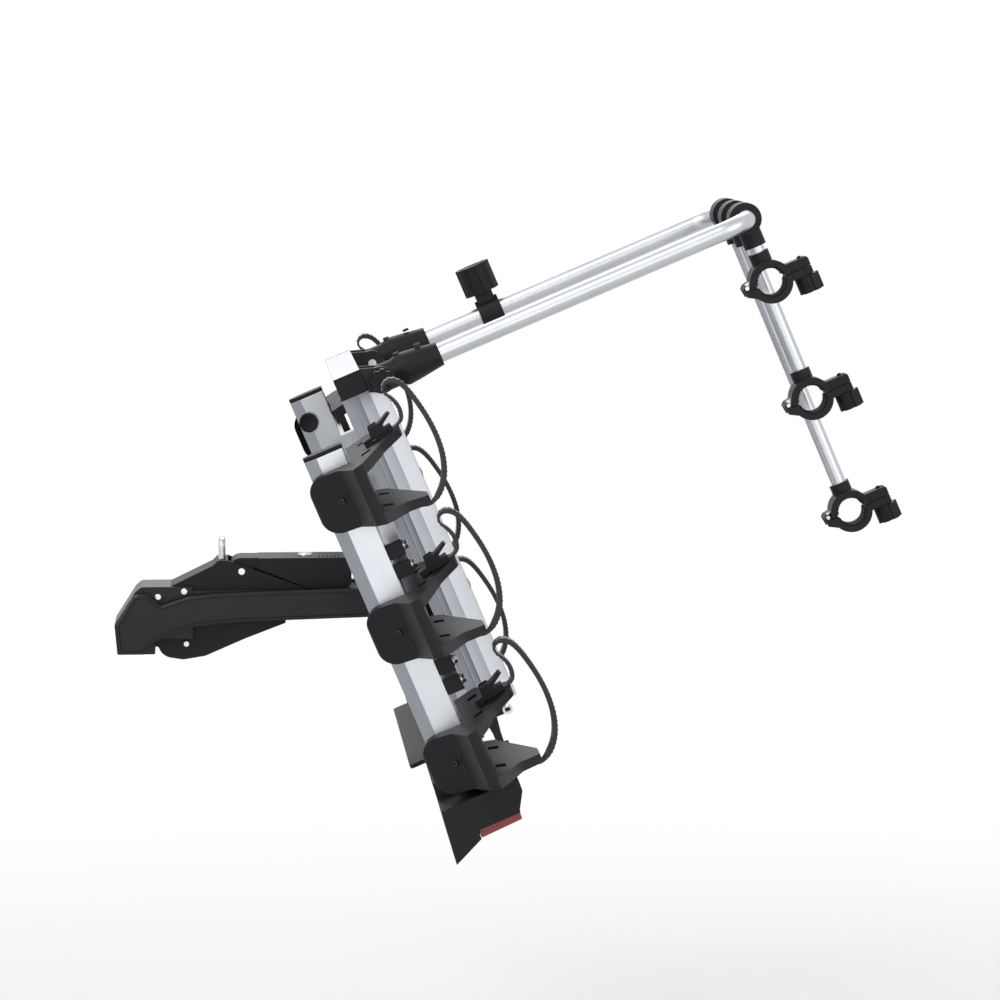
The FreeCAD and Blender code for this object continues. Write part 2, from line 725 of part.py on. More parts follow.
# Wheel holders: moulded troughs whose walls lean outwards and sweep up to a peak.
def make_holder(name, spot, sign):
    body = new_body(name)
    base = "(outer_top + 1)"
    top = "(outer_top + flat_thick + seat_gap)"
    floor = f"({top} + holder_floor)"
    foot, brim = "(holder_wide / 2)", "(holder_wide / 2 + holder_flare)"
    flared = [(f"-{foot}", base), (foot, base), (brim, "peak_q"), (f"-{brim}", "peak_q")]
    pad(body, "XZ", [flared], "holder_out - holder_in", f"{-sign} * (holder_in + holder_out) / 2")
    rise = [("holder_in", "inner_end_q"), ("holder_in + 40", "inner_end_q + 14"),
            ("peak_y - 60", "peak_q - 14"), ("peak_y - 24", "peak_q")]
    brow = "(peak_y + 24)"
    slope = f"(holder_out - {brow})"
    fall = [(brow, "peak_q"), (f"{brow} + 0.29 * {slope}", "peak_q - 30"),
            (f"{brow} + 0.77 * {slope}", "outer_end_q + 10"), ("holder_out", "outer_end_q - 4")]
    above = "peak_q + 5"
    inner = [("holder_in - 5", "inner_end_q")] + rise + [("peak_y - 24", above), ("holder_in - 5", above)]
    outer = fall + [("holder_out + 5", "outer_end_q - 4"), ("holder_out + 5", above),
                    ("peak_y + 24", above)]
    for waste in (inner, outer):
        cut(body, "YZ", [[(f"{sign} * ({a})", b) for a, b in waste]], "holder_wide + 3 * holder_flare")
    crest = [(f"{sign} * ({a})", b) for a, b in rise[1:] + fall[:3]]
    soften(body, "holder_sweep", "x", crest)
    ends = [(f"{sign} * ({a})", b) for a, b in (rise[0], fall[3])]
    soften(body, "holder_round", "x", ends)
    trough = [("holder_in - 5", f"{floor} + 12"), ("holder_in + 46", floor),
              ("holder_out - 46", floor), ("holder_out + 5", f"{floor} + 6"),
              ("holder_out + 5", "peak_q + 5"), ("holder_in - 5", "peak_q + 5")]
    cut(body, "YZ", [[(f"{sign} * ({a})", b) for a, b in trough]], "holder_wide - 2 * holder_wall")
    low, high = "(holder_wide / 2 - holder_wall)", "(holder_wide / 2 + holder_flare - holder_wall)"
    mouth = [(f"-{low}", f"{floor} + 6"), (low, f"{floor} + 6"), (high, "peak_q + 1"),
             (f"-{high}", "peak_q + 1")]
    cut(body, "XZ", [mouth], "holder_out - holder_in + 10", f"{-sign} * (holder_in + holder_out) / 2")
    # the way for the flat rail under the floor
    under = box_corners(f"{sign} * (holder_in - 5)", "0", f"{sign} * (outer_y + outer_wide / 2)", top)
    cut(body, "YZ", [under], "flat_wide + 2 * seat_gap")
    # the skirt outside the outer beam, hollow towards it
    near = "(outer_y + outer_wide / 2 + skirt_gap)"
    skirt = [(near, base), (near, "skirt_low"), (f"{near} + 12", "skirt_low"),
             (f"{near} + 40", f"{base} - 20"), ("holder_out", base)]
    skirt = [(f"{sign} * ({a})", b) for a, b in skirt]
    pad(body, "YZ", [skirt], "holder_wide")
    soften(body, "holder_round", "x", skirt[2:4])
    inside = [(f"{near} - 1", f"{base} - 5"), (f"{near} - 1", "skirt_low - 1"),
              (f"{near} + 12 - skirt_thick", "skirt_low - 1"),
              (f"{near} + 34 - skirt_thick", f"{base} - 19"), ("holder_out - 24", f"{base} - 5")]
    cut(body, "YZ", [[(f"{sign} * ({a})", b) for a, b in inside]],
        "holder_wide - 2 * skirt_thick")
    # lightening slots through the walls
    for low, high in (("peak_y - 96", "peak_y - 74"), ("peak_y + 50", "peak_y + 72")):
        window = box_corners(f"{sign} * ({low})", f"{floor} + 8", f"{sign} * ({high})", f"{floor} + 22")
        cut(body, "YZ", [window], "holder_wide + 3 * holder_flare")
    place(body, spot)
    return body


# Wheel straps: a toothed band that arches over the trough from wall to wall.
def make_strap(name, spot, sign):
    base, peak = value("outer_top + 1"), value("peak_q")
    slope = value("holder_flare") / (peak - base)
    thick, wide, crown = value("strap_thick"), value("strap_wide"), value("strap_top")
    low, shoulder = peak - 36, peak + 1

    def side(height, grow):
        """How far out the band's face stands, on the leaning wall."""
        clear = (value("seat_gap") + grow) * math.hypot(1, slope)
        return value("holder_wide / 2") + slope * (height - base) + clear

    def arch(grow):
        """Ends and edges of one face of the band."""
        ends = [Vector(sign_p * side(low, grow), 0, low) for sign_p in (-1, 1)]
        tops = [Vector(sign_p * side(shoulder, grow), 0, shoulder) for sign_p in (-1, 1)]
        over = Part.Arc(tops[0], Vector(0, 0, crown + grow), tops[1]).toShape()
        legs = [Part.LineSegment(end, top).toShape() for end, top in zip(ends, tops)]
        return ends, legs + [over]

    inner_ends, inner = arch(0)
    outer_ends, outer = arch(thick)
    across = [Part.LineSegment(a, b).toShape() for a, b in zip(inner_ends, outer_ends)]
    wire = Part.Wire(Part.__sortEdges__(inner + outer + across))
    band = Part.Face(wire).extrude(Vector(0, wide, 0))
    middle = sign * value("peak_y") - wide / 2
    return set_shape(name, band, deck_placement(value(spot), middle, 0))


# Ratchet buckles: a base clipped on the leaning front wall, and its lever.
def make_buckle(name, spot, sign):
    def out(extra):
        """A place this far in front of the strap, on a frame that lies along the wall."""
        return f"-(seat_gap + strap_thick + seat_gap + {extra})"

    rise = "(peak_q - outer_top - 1)"
    lean = f"-atan(holder_flare / {rise}) / 1 deg"
    wall = f"(holder_wide / 2 + holder_flare * ({rise} - 30) / {rise})"
    spots = (f"{spot} - {wall}", f"{sign} * peak_y", "peak_q - 30", lean)
    base = new_body(f"{name}_base")
    cheek = box_corners(out(5), "-22", out(0), "22")
    pad(base, "XZ", [cheek], "strap_wide + 8")
    ear = [(out(4), "-10"), (out(17), "-6"), (out(17), "6"), (out(4), "14")]
    for step in (-1, 1):
        pad(base, "XZ", [ear], "3", f"{step} * (strap_wide / 2 + 2.5)")
    cut(base, "XZ", [("circle", out(11), "0", "buckle_pin_dia / 2 + run_fit")], "strap_wide * 3")
    foot = box_corners(out(1), "-22", "0", "-10")
    pad(base, "XZ", [foot], "strap_wide + 8")
    place(base, *spots)
    lever = new_body(name)
    grip = [(out(8), "-4.5"), (out(15), "-5"), (out(15), "10"), (out(20), "28"), (out(17), "30"),
            (out(11), "16"), (out(7), "8")]
    pad(lever, "XZ", [grip], "strap_wide + 1")
    pad(lever, "XZ", [("circle", out(11), "0", "buckle_pin_dia / 2")], "strap_wide + 8")
    place(lever, *spots)
    node(lever, name)
    return base


def make_wheel_places():
    """Six places, each a trough with its strap and buckle base, and the buckle's lever."""
    for side, sign in SIDES.items():
        for number, spot in enumerate(wheel_spots(), 1):
            trough = make_holder(f"trough_{side}_{number}", spot, sign)
            strap = make_strap(f"wheel_strap_{side}_{number}", spot, sign)
            base = make_buckle(f"buckle_lever_{side}_{number}", spot, sign)
            group(f"wheel_holder_{side}_{number}", [trough, strap, base])


# Crossmembers between the beams: front with the mast ears, middle for the latch, rear.
def make_crossmembers():
    front = new_body("front_crossmember")
    section = box_corners("front_bar_front", "inner_low", "inner_front", "inner_low + front_bar_high")
    void = box_corners("front_bar_front + 3", "inner_low + 3", "inner_front - 3",
                       "inner_low + front_bar_high - 3")
    pad(front, "XZ", [section, void], "2 * front_bar_half")
    place(front)
    ends = []
    for sign in (-1, 1):
        cap = new_body("crossmember_cap")
        pad(cap, "XZ", [section], "cap_thick")
        place(cap, "0", f"{sign} * (front_bar_half + cap_thick / 2)")
        ends.append(cap)
    latch = new_body("latch_crossmember")
    high = "inner_low + inner_high"
    outer = box_corners("latch_bar_front", "latch_bar_low", "latch_bar_front + latch_bar_wide", high)
    inner = box_corners("latch_bar_front + 2.5", "latch_bar_low + 2.5",
                        "latch_bar_front + latch_bar_wide - 2.5", f"{high} - 2.5")
    pad(latch, "XZ", [outer, inner], "2 * inner_in")
    place(latch)
    rear = new_body("rear_crossmember")
    outer = box_corners("rear_bar_front", "inner_low", "inner_rear", "inner_low + rear_bar_high")
    inner = box_corners("rear_bar_front + 2.5", "inner_low + 2.5", "inner_rear - 2.5",
                        "inner_low + rear_bar_high - 2.5")
    pad(rear, "XZ", [outer, inner], "2 * inner_in")
    place(rear)
    group("crossmembers", [front, latch, rear])
    return ends


# Latch: bracket, hook, shaft with its crank, pull rod and foot pedal.
def make_latch():
    bracket = new_body("latch_bracket")
    start = "latch_bar_front + latch_bar_wide"
    cheek = [(start, "latch_bar_low + 4"), ("claw_p + 3", "claw_q - 12"), ("claw_p + 12", "claw_q - 6"),
             ("claw_p + 12", "claw_q + 6"), ("claw_p + 3", "claw_q + 9"), (start, "claw_q + 9")]
    pad(bracket, "XZ", [cheek], "claw_wide + 2 * seat_gap + 10")
    room = "(claw_hub_dia / 2 + 2 * seat_gap)"
    gap = box_corners(f"claw_p - {room}", "latch_bar_low - 5", "claw_p + 20", "claw_q + 20")
    cut(bracket, "XZ", [gap], "claw_wide + 2 * seat_gap")
    bore = ("circle", "claw_p", "claw_q", "shaft_dia / 2 + run_fit")
    cut(bracket, "XZ", [bore], "claw_wide * 4")
    place(bracket)
    claw = new_body("claw_hook")
    hook = [("2.2", "-2"), ("2.2", "-38.2"), ("-12", "-38.2"), ("-14", "-34"), ("-16", "-36"),
            ("-14", "-47"), ("4", "-48"), ("11", "-42"), ("10", "-2")]
    pad(claw, "XZ", [("circle", "0", "0", "claw_hub_dia / 2")], "claw_wide")
    pad(claw, "XZ", [hook], "claw_wide")
    cut(claw, "XZ", [("circle", "0", "0", "shaft_dia / 2")], "claw_wide * 2")
    place(claw, "claw_p", "0", "claw_q", "-claw_open")
    shaft = new_body("claw_shaft")
    near, far = "crank_y - 1", "claw_wide / 2 + seat_gap + 7"
    middle = f"({near} + {far}) / 2"
    pad(shaft, "XZ", [("circle", "0", "0", "shaft_dia / 2")], f"{far} - ({near})", f"-({middle})")
    crank = [("-6", "0"), ("-4.5", "-crank_long"), ("4.5", "-crank_long"), ("6", "0")]
    lift = "-(crank_y + 1.5)"
    pad(shaft, "XZ", [crank], "5", lift)
    pad(shaft, "XZ", [("circle", "0", "-crank_long", "4.5")], "5", lift)
    pad(shaft, "XZ", [("circle", "0", "-crank_long", "rod_pin_dia / 2")], "12", "-(crank_y - 2)")
    place(shaft, "claw_p", "0", "claw_q", "-claw_open / 2")
    group("latch_claw", [claw, shaft])
    return bracket


def make_pedal():
    swing, tread_turn = "claw_open / 2", "pedal_swing / 2"
    stroke = f"(crank_long * sin({swing}))"
    level = f"(claw_q - crank_long * cos({swing}))"
    arm_long = f"({stroke} / sin({tread_turn}))"
    rod = new_body("release_rod")
    eyes = (f"(claw_p + {stroke})", f"(pedal_p + {stroke})")
    start, end = f"({eyes[0]} + rod_eye_dia / 2 - 1)", f"({eyes[1]} - rod_eye_dia / 2 + 1)"
    length = f"({end} - {start})"
    pad(rod, "YZ", [("circle", "crank_y - 5", "0", "rod_dia / 2")], length, f"({start} + {end}) / 2")
    for centre in eyes:
        pad(rod, "XZ", [("circle", centre, "0", "rod_eye_dia / 2")], "6", "-(crank_y - 5)")
        half = "(rod_pin_dia / 2 + 2 * run_fit)"
        slot = box_corners(f"{centre} - {half}", f"-{half} - 1.2", f"{centre} + {half}", f"{half} + 1.2")
        cut(rod, "XZ", [slot], "20", "-(crank_y - 5)")
    place(rod, "0", "0", level)
    node(rod, "release_rod")
    pivot_q = f"({level} - {arm_long} * cos({tread_turn}))"
    lever = new_body("pedal_lever")
    arm = [("-6", "0"), ("-5", f"{arm_long} + 4"), ("5", f"{arm_long} + 4"), ("8", "12"),
           ("30", "12"), ("pedal_rear - pedal_p", "16"), ("pedal_rear - pedal_p", "8"),
           ("30", "0"), ("4", "-8"), ("-4", "-8")]
    pad(lever, "XZ", [arm], "6", "-(crank_y + 2)")
    cut(lever, "XZ", [("circle", "0", "0", "4 + run_fit")], "30", "-(crank_y + 2)")
    pad(lever, "XZ", [("circle", "0", arm_long, "rod_pin_dia / 2")], "16", "-(crank_y - 3)")
    place(lever, "pedal_p", "0", pivot_q, tread_turn)
    node(lever, "pedal_lever")
    padding = new_body("pedal_pad")
    tread = [("pedal_rear - pedal_p - 36", "11"), ("pedal_rear - pedal_p + 2", "16"),
             ("pedal_rear - pedal_p + 2", "23"), ("pedal_rear - pedal_p - 36", "20")]
    pad(padding, "XZ", [tread], "pad_wide", "-crank_y")
    slot = [("0", "-6"), ("pedal_rear - pedal_p", "-6"), ("pedal_rear - pedal_p", "16"),
            ("30", "12"), ("0", "12")]
    cut(padding, "XZ", [slot], "6", "-(crank_y + 2)")
    place(padding, "pedal_p", "0", pivot_q, tread_turn)
    node(padding, "pedal_pad")
    bracket = new_body("pedal_bracket")
    ear = [("inner_rear", f"{pivot_q} - 9"), ("pedal_p + 8", f"{pivot_q} - 9"),
           ("pedal_p + 10", f"{pivot_q}"), ("pedal_p + 6", f"{pivot_q} + 9"),
           ("inner_rear", f"{pivot_q} + 9")]
    pad(bracket, "XZ", [ear], "pedal_wide", "-crank_y")
    room = box_corners("inner_rear + 4", f"{pivot_q} - 20", "pedal_p + 20", f"{pivot_q} + 20")
    cut(bracket, "XZ", [room], "pedal_wide - 7", "-crank_y")
    cut(bracket, "XZ", [("circle", "pedal_p", pivot_q, "4")], "60", "-crank_y")
    place(bracket)
    pin = cylinder("pedal_pin", "4", "pedal_wide")
    place(pin, "pedal_p", "crank_y", pivot_q)
    return [bracket, pin]


# Mast: ears on the front crossmember, folding sleeves, and one bent tube for legs and top bar.
def make_mast():
    foot = "(inner_low + front_bar_high)"
    ears, sleeves, pins = [], [], []
    for side, sign in SIDES.items():
        for step in (-1, 1):
            ear = new_body("mast_ear")
            outline = [("front_bar_front", foot), ("inner_front + 4", foot),
                       ("mast_p + ear_dia / 2", "mast_hinge_q"), ("mast_p - ear_dia / 2", "mast_hinge_q")]
            pad(ear, "XZ", [outline], "ear_thick")
            pad(ear, "XZ", [("circle", "mast_p", "mast_hinge_q", "ear_dia / 2")], "ear_thick")
            cut(ear, "XZ", [("circle", "mast_p", "mast_hinge_q", "mast_pin_dia / 2")], "ear_thick * 2")
            reach = "(sleeve_dia / 2 + seat_gap + ear_thick / 2)"
            place(ear, "0", f"{sign} * mast_y + {step} * {reach}")
            ears.append(ear)
        sleeve = new_body(f"mast_sleeve_{side}")
        pad(sleeve, "XZ", [("circle", "0", "0", "sleeve_dia / 2 - 2")], "sleeve_dia")
        high = "sleeve_top - mast_hinge_q"
        revolve(sleeve, [("0", "0"), ("sleeve_dia / 2", "0"), ("sleeve_dia / 2", "ear_dia / 2 + 2"),
                         ("sleeve_belly / 2", f"({high}) * 0.4"), ("sleeve_belly / 2 - 2", f"({high}) * 0.6"),
                         ("sleeve_dia / 2 - 3", high), ("0", high)])
        bore = ("circle", "0", "0", "mast_tube_dia / 2")
        cut(sleeve, "XY", [bore], f"{high} - 24", f"({high} + 24) / 2 + 0.5")
        cut(sleeve, "XZ", [("circle", "0", "0", "mast_pin_dia / 2 + run_fit")], "sleeve_dia * 2")
        place(sleeve, "mast_p", f"{sign} * mast_y", "mast_hinge_q")
        sleeves.append(sleeve)
        pin = cylinder("mast_pin", "mast_pin_dia / 2", "sleeve_dia + 2 * seat_gap + 2 * ear_thick + 4")
        place(pin, "mast_p", f"{sign} * (mast_y + 2)", "mast_hinge_q")
        pins.append(pin)
        knob = star_knob(f"mast_knob_{side}", "mast_knob_dia / 2", "mast_knob_long", 8)
        start = "(mast_y + sleeve_dia / 2 + seat_gap + ear_thick + 4 + seat_gap)"
        place(knob, "mast_p", f"{sign} * ({start} + mast_knob_long / 2)", "mast_hinge_q")
        node(knob, f"mast_knob_{side}")
    group("mast_ears", ears + pins)
    group("mast_sleeves", sleeves)
    p, y = value("mast_p"), value("mast_y")
    low, top = value("mast_hinge_q + 24.5"), value("mast_top_q")
    path = [Vector(0, -y, low), Vector(0, -y, top), Vector(0, y, top), Vector(0, y, low)]
    radius, wall = value("mast_tube_dia / 2"), value("mast_tube_wall")
    tube = bent_tube(path, value("mast_bend"), radius, radius - wall)
    node(set_shape("mast_tube", tube, deck_placement(p, 0, 0)), "mast_tube")


def star_knob(name, radius, length, lobes):
    """A knob along Y with grooves round its rim."""
    body = new_body(name)
    pad(body, "XZ", [("circle", "0", "0", radius)], length)
    for k in range(lobes):
        across = f"({radius}) * 1.12 * cos({360 * k / lobes})"
        up = f"({radius}) * 1.12 * sin({360 * k / lobes})"
        cut(body, "XZ", [("circle", across, up, f"({radius}) * 0.26")], f"({length}) * 2")
    return body


# Leg clamp: a collar on the right leg with a large grooved knob in front.
def make_leg_clamp():
    collar = new_body("leg_clamp")
    pad(collar, "XY", [("circle", "0", "0", "leg_clamp_dia / 2")], "leg_clamp_high")
    nose = box_corners("-leg_clamp_dia / 2 - 10", "-13", "0", "13")
    pad(collar, "XY", [nose], "leg_clamp_high - 8")
    cut(collar, "XY", [("circle", "0", "0", "mast_tube_dia / 2")], "leg_clamp_high * 2")
    split = box_corners("5", "-1.5", "leg_clamp_dia", "1.5")
    cut(collar, "XY", [split], "leg_clamp_high * 2")
    place(collar, "mast_p", "mast_y", "leg_clamp_q")
    node(collar, "leg_clamp")
    knob = new_body("leg_clamp_knob")
    start = "-(leg_clamp_dia / 2 + 10 + seat_gap)"
    lift = f"{start} - big_knob_long / 2"
    pad(knob, "YZ", [("circle", "0", "0", "big_knob_dia / 2")], "big_knob_long", lift)
    for k in range(10):
        across = f"big_knob_dia / 2 * 1.06 * cos({36 * k})"
        up = f"big_knob_dia / 2 * 1.06 * sin({36 * k})"
        cut(knob, "YZ", [("circle", across, up, "3.4")], "big_knob_long * 3", lift)
    place(knob, "mast_p", "mast_y", "leg_clamp_q")
    node(knob, "leg_clamp_knob")


# Bike arms: a collar on the top bar, a tube rearward, and a two-part jaw round a bike's frame.
def make_arm(number, spot, y):
    reach = f"({spot} - mast_p)"
    collar = new_body(f"arm_collar_{number}")
    pad(collar, "XZ", [("circle", "0", "0", "collar_dia / 2")], "collar_wide")
    socket_long = "collar_dia / 2 + 20"
    pad(collar, "YZ", [("circle", "0", "0", "arm_dia / 2 + 5")], socket_long, f"({socket_long}) / 2")
    bore = ("circle", "0", "0", "mast_tube_dia / 2 + run_fit")
    cut(collar, "XZ", [bore], "collar_wide * 2")
    tube_start = "(collar_dia / 2 - 2)"
    cut(collar, "YZ", [("circle", "0", "0", "arm_dia / 2")], "60", f"{tube_start} + 30")
    place(collar, "mast_p", y, "mast_top_q")
    tube_end = f"({reach} - jaw_ring_dia / 2)"
    tube = new_body(f"arm_tube_{number}")
    loops = [("circle", "0", "0", "arm_dia / 2"), ("circle", "0", "0", "arm_dia / 2 - 1.5")]
    pad(tube, "YZ", loops, f"{tube_end} - {tube_start}", f"({tube_end} + {tube_start}) / 2")
    place(tube, "mast_p", y, "mast_top_q")
    group(f"bike_arm_{number}", [collar, tube] + make_jaws(number, spot, y))


def make_jaws(number, spot, y):
    """The fixed half on the tube, with the swinging half on a pin under it."""
    ring, edge = "(jaw_ring_dia / 2)", "jaw_split_gap / 2"
    hinge_a, hinge_b = "-5", f"(-{ring} - 5)"
    lip = f"({ring} + 2 + arm_knob_dia * 0.8)"
    fixed = new_body(f"jaw_fixed_{number}")
    pad(fixed, "XZ", [("circle", "0", "0", ring)], "jaw_ring_wide")
    cut(fixed, "XZ", [("circle", "0", "0", "jaw_bore_dia / 2")], "jaw_ring_wide * 2")
    away = box_corners(f"-{edge}", "-60", "60", "60")
    cut(fixed, "XZ", [away], "jaw_ring_wide * 2")
    lift = f"-{ring} - 6"
    pad(fixed, "YZ", [("circle", "0", "0", "arm_dia / 2 + 4")], "16", lift)
    cut(fixed, "YZ", [("circle", "0", "0", "arm_dia / 2")], "30", f"{lift} - 9")
    ear = [("-14", "-20"), (f"{hinge_a} - 6", hinge_b), (hinge_a, f"{hinge_b} - 6"),
           (f"-{edge}", f"{hinge_b} - 4"), (f"-{edge}", "-24")]
    pad(fixed, "XZ", [ear], "jaw_ring_wide - 20")
    bore = ("circle", hinge_a, hinge_b, "jaw_hinge_dia / 2")
    cut(fixed, "XZ", [bore], "jaw_ring_wide * 2")
    foot = box_corners("-14", "25", f"-{edge}", lip)
    pad(fixed, "XZ", [foot], "jaw_ring_wide - 16")
    soften(fixed, "jaw_round", "y", [foot[3]])
    knob_up = f"({ring} + 2 + arm_knob_dia / 2)"
    notch = box_corners("-arm_stud_dia / 2 - 1", f"{knob_up} - arm_stud_dia / 2 - 1",
                        "arm_stud_dia / 2 + 1", f"{lip} + 5")
    cut(fixed, "YZ", [notch], "60", "-8")
    place(fixed, spot, y, "mast_top_q")
    pin = cylinder(f"hinge_pin_{number}", "jaw_hinge_dia / 2", "jaw_ring_wide")
    place(pin, f"{spot} - 5", y, f"mast_top_q - {ring} - 5")
    swing = new_body(f"jaw_swing_{number}")
    near = box_corners("-60", "-60", edge, "60")
    pad(swing, "XZ", [("circle", "0", "0", ring)], "jaw_ring_wide")
    cut(swing, "XZ", [("circle", "0", "0", "jaw_bore_dia / 2")], "jaw_ring_wide * 2")
    cut(swing, "XZ", [near], "jaw_ring_wide * 2")
    lug = [(f"{hinge_a} - 5", f"{hinge_b} - 1"), (hinge_a, f"{hinge_b} - 6"), ("8", f"{hinge_b} - 4"),
           ("18", "-22"), (edge, "-26"), (edge, f"-{ring} - 1"), (hinge_a, f"{hinge_b} + 4.4")]
    for step in (-1, 1):
        pad(swing, "XZ", [lug], "8", f"{step} * (jaw_ring_wide / 2 - 4)")
    cut(swing, "XZ", [("circle", hinge_a, hinge_b, "jaw_hinge_dia / 2 + run_fit")],
        "jaw_ring_wide * 2")
    toe = box_corners(edge, "24", "12", lip)
    pad(swing, "XZ", [toe], "jaw_ring_wide - 16")
    soften(swing, "jaw_round", "y", [toe[2]])
    cut(swing, "YZ", [("circle", "0", knob_up, "arm_stud_dia / 2 + run_fit")], "60", "0")
    place(swing, spot, y, "mast_top_q")
    node(swing, f"jaw_swing_{number}")
    knob = new_body(f"arm_knob_{number}")
    lift = "12 + seat_gap + arm_knob_long / 2"
    pad(knob, "YZ", [("circle", "0", "0", "arm_knob_dia / 2")], "arm_knob_long", lift)
    for k in range(6):
        across = f"arm_knob_dia / 2 * 1.12 * cos({60 * k})"
        up = f"arm_knob_dia / 2 * 1.12 * sin({60 * k})"
        cut(knob, "YZ", [("circle", across, up, "5")], "arm_knob_long * 3", lift)
    pad(knob, "YZ", [("circle", "0", "0", "arm_stud_dia / 2")], "30", "-2")
    place(knob, spot, y, f"mast_top_q + {knob_up}")
    node(knob, f"arm_knob_{number}")
    return [fixed, pin]


def make_arms():
    shifts = ("-arm_pitch", "0", "arm_pitch")
    for number, (spot, y) in enumerate(zip(wheel_spots(), shifts), 1):
        make_arm(number, spot, y)


# Rear rail, lamps and number-plate holder.
def make_rear():
    rail = new_body("rear_rail")
    back = "rail_front + rail_deep"
    section = box_corners("rail_front", "0", back, "rail_high - 2")
    void = box_corners("rail_front + 2.5", "2.5", f"{back} - 2.5", "rail_high - 4.5")
    pad(rail, "XZ", [section, void], "2 * (outer_y + outer_wide / 2)")
    place(rail)
    node(rail, "rear_rail")
    lamps, lenses = [], {"red": [], "clear": []}
    for side, sign in SIDES.items():
        lamp = new_body(f"lamp_housing_{side}")
        wide = "(lamp_out - lamp_in)"
        hood = [("lamp_front", "-31"), ("297", "-40"), ("292", "-28"), ("278", "4"), ("266", "4"),
                ("266", "65"), ("262", "66"), ("240", "79"), ("lamp_front", "80")]
        pad(lamp, "XZ", [hood], wide)
        soften(lamp, "lamp_round", "y", hood[6:])
        flange = [(back, "-29"), ("lamp_front + 2", "-31"), ("lamp_front + 2", "rail_high - 2"),
                  (back, "rail_high - 2")]
        pad(lamp, "XZ", [flange], f"{wide} - 100", f"{sign} * 45")
        place(lamp, "0", f"{sign} * (lamp_in + lamp_out) / 2")
        lamps.append(lamp)
        lens = [("266", "4"), ("279", "5"), ("277", "64"), ("266", "65")]
        share = f"({wide} - 2 * lens_rim) / 2"
        for colour, step in (("red", 1), ("clear", -1)):
            glass = new_body(f"lens_{colour}_{side}")
            pad(glass, "XZ", [lens], f"{share} - 1")
            middle = f"{sign} * ((lamp_in + lamp_out) / 2 + {step} * {share} / 2)"
            place(glass, "0", middle)
            lenses[colour].append(glass)
    group("lamp_housings", lamps)
    for colour, members in lenses.items():
        group(f"lenses_{colour}", members)
    holder = new_body("plate_holder")
    low = "plate_top - plate_high"
    face = box_corners(back, low, f"{back} + plate_thick", "plate_top")
    pad(holder, "XZ", [face], "2 * plate_half")
    dish = box_corners(f"{back} + plate_thick - 2", f"{low} + 6", f"{back} + plate_thick + 5",
                       "plate_top - 1")
    cut(holder, "XZ", [dish], "2 * plate_half - 12")
    outer = [(f"{sign} * plate_half", edge) for sign in (-1, 1) for edge in (low, "plate_top")]
    soften(holder, "plate_round", "x", outer)
    place(holder)
    node(holder, "plate_holder")


make_head()
make_jaw()
make_rails()
make_core()
make_guard()
make_cover()
make_lever()
make_loop()
make_coupling_pins()
make_axle()
make_brackets()
make_inner_beams()
make_flat_rails()
make_wheel_places()
group("end_caps", make_outer_beams() + make_cross_tubes() + make_crossmembers())
group("latch_brackets", [make_latch()] + make_pedal())
make_mast()
make_leg_clamp()
make_arms()
make_rear()

doc.recompute()
for item in doc.Objects:
    if any(word in item.State for word in ("Invalid", "Error")):
        raise RuntimeError(f"{item.Label} did not compute: {item.State}")

os.makedirs("parts", exist_ok=True)
labels = [item.Label for item in nodes]
if len(set(labels)) != len(labels):
    raise RuntimeError("two sub-parts share a label")
for item in nodes:
    if item.Shape.isNull() or not item.Shape.isValid():
        raise RuntimeError(f"{item.Label} has no valid shape")
    item.Shape.exportStep(f"parts/{item.Label}.step")
print(len(nodes), "sub-parts written")
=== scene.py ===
"""Looks of a tow-ball bike carrier for three bikes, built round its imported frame."""
import json
import logging
import math
from dataclasses import dataclass, field
from enum import Enum
from typing import Callable, Sequence

import bmesh
import bpy
from mathutils import Matrix, Vector


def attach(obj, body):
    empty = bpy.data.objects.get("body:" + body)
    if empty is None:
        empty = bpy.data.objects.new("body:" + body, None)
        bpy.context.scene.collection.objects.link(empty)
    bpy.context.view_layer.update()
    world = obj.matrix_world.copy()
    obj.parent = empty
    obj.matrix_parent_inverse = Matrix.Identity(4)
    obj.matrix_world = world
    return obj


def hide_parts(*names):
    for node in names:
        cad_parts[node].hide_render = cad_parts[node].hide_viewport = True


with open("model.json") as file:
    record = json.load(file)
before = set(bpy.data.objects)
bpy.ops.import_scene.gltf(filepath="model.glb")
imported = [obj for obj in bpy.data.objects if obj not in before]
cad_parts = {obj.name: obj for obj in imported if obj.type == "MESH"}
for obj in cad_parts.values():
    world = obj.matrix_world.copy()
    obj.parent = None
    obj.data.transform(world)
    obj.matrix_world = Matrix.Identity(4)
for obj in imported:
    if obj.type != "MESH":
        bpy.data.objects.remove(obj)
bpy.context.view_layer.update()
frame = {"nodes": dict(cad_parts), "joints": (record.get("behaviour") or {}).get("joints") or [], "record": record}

log = logging.getLogger("bike_carrier")

MM = 0.001
# edges sharper than this many degrees are rounded, and those sharper than the second stay sharp
# in the shading
ROUND_FROM = 28.0
SHARP_FROM = 35.0
# cosine from which a face looks along an axis, and how far apart two faces of one level may lie
FACING = 0.99
LEVEL = 0.2 * MM
# corners closer than this are one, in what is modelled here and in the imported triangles
WELD, PACKED_WELD = 0.01 * MM, 0.02 * MM
# packed triangles that turn by fewer degrees are one flat face
FLAT_WITHIN = 0.6

Piece = bpy.types.Object
Test = Callable[[Vector, Vector], bool]


class Slot(Enum):
    """Material slots of the record, one of which each look names."""

    BLACK_STEEL = "black_steel"
    BLACK_PLASTIC = "black_plastic"
    ALUMINIUM = "satin_aluminium"
    BRIGHT_STEEL = "bright_steel"
    BEARING = "bearing_plastic"
    RUBBER = "rubber"
    RED_LENS = "red_lens"
    CLEAR_LENS = "clear_lens"


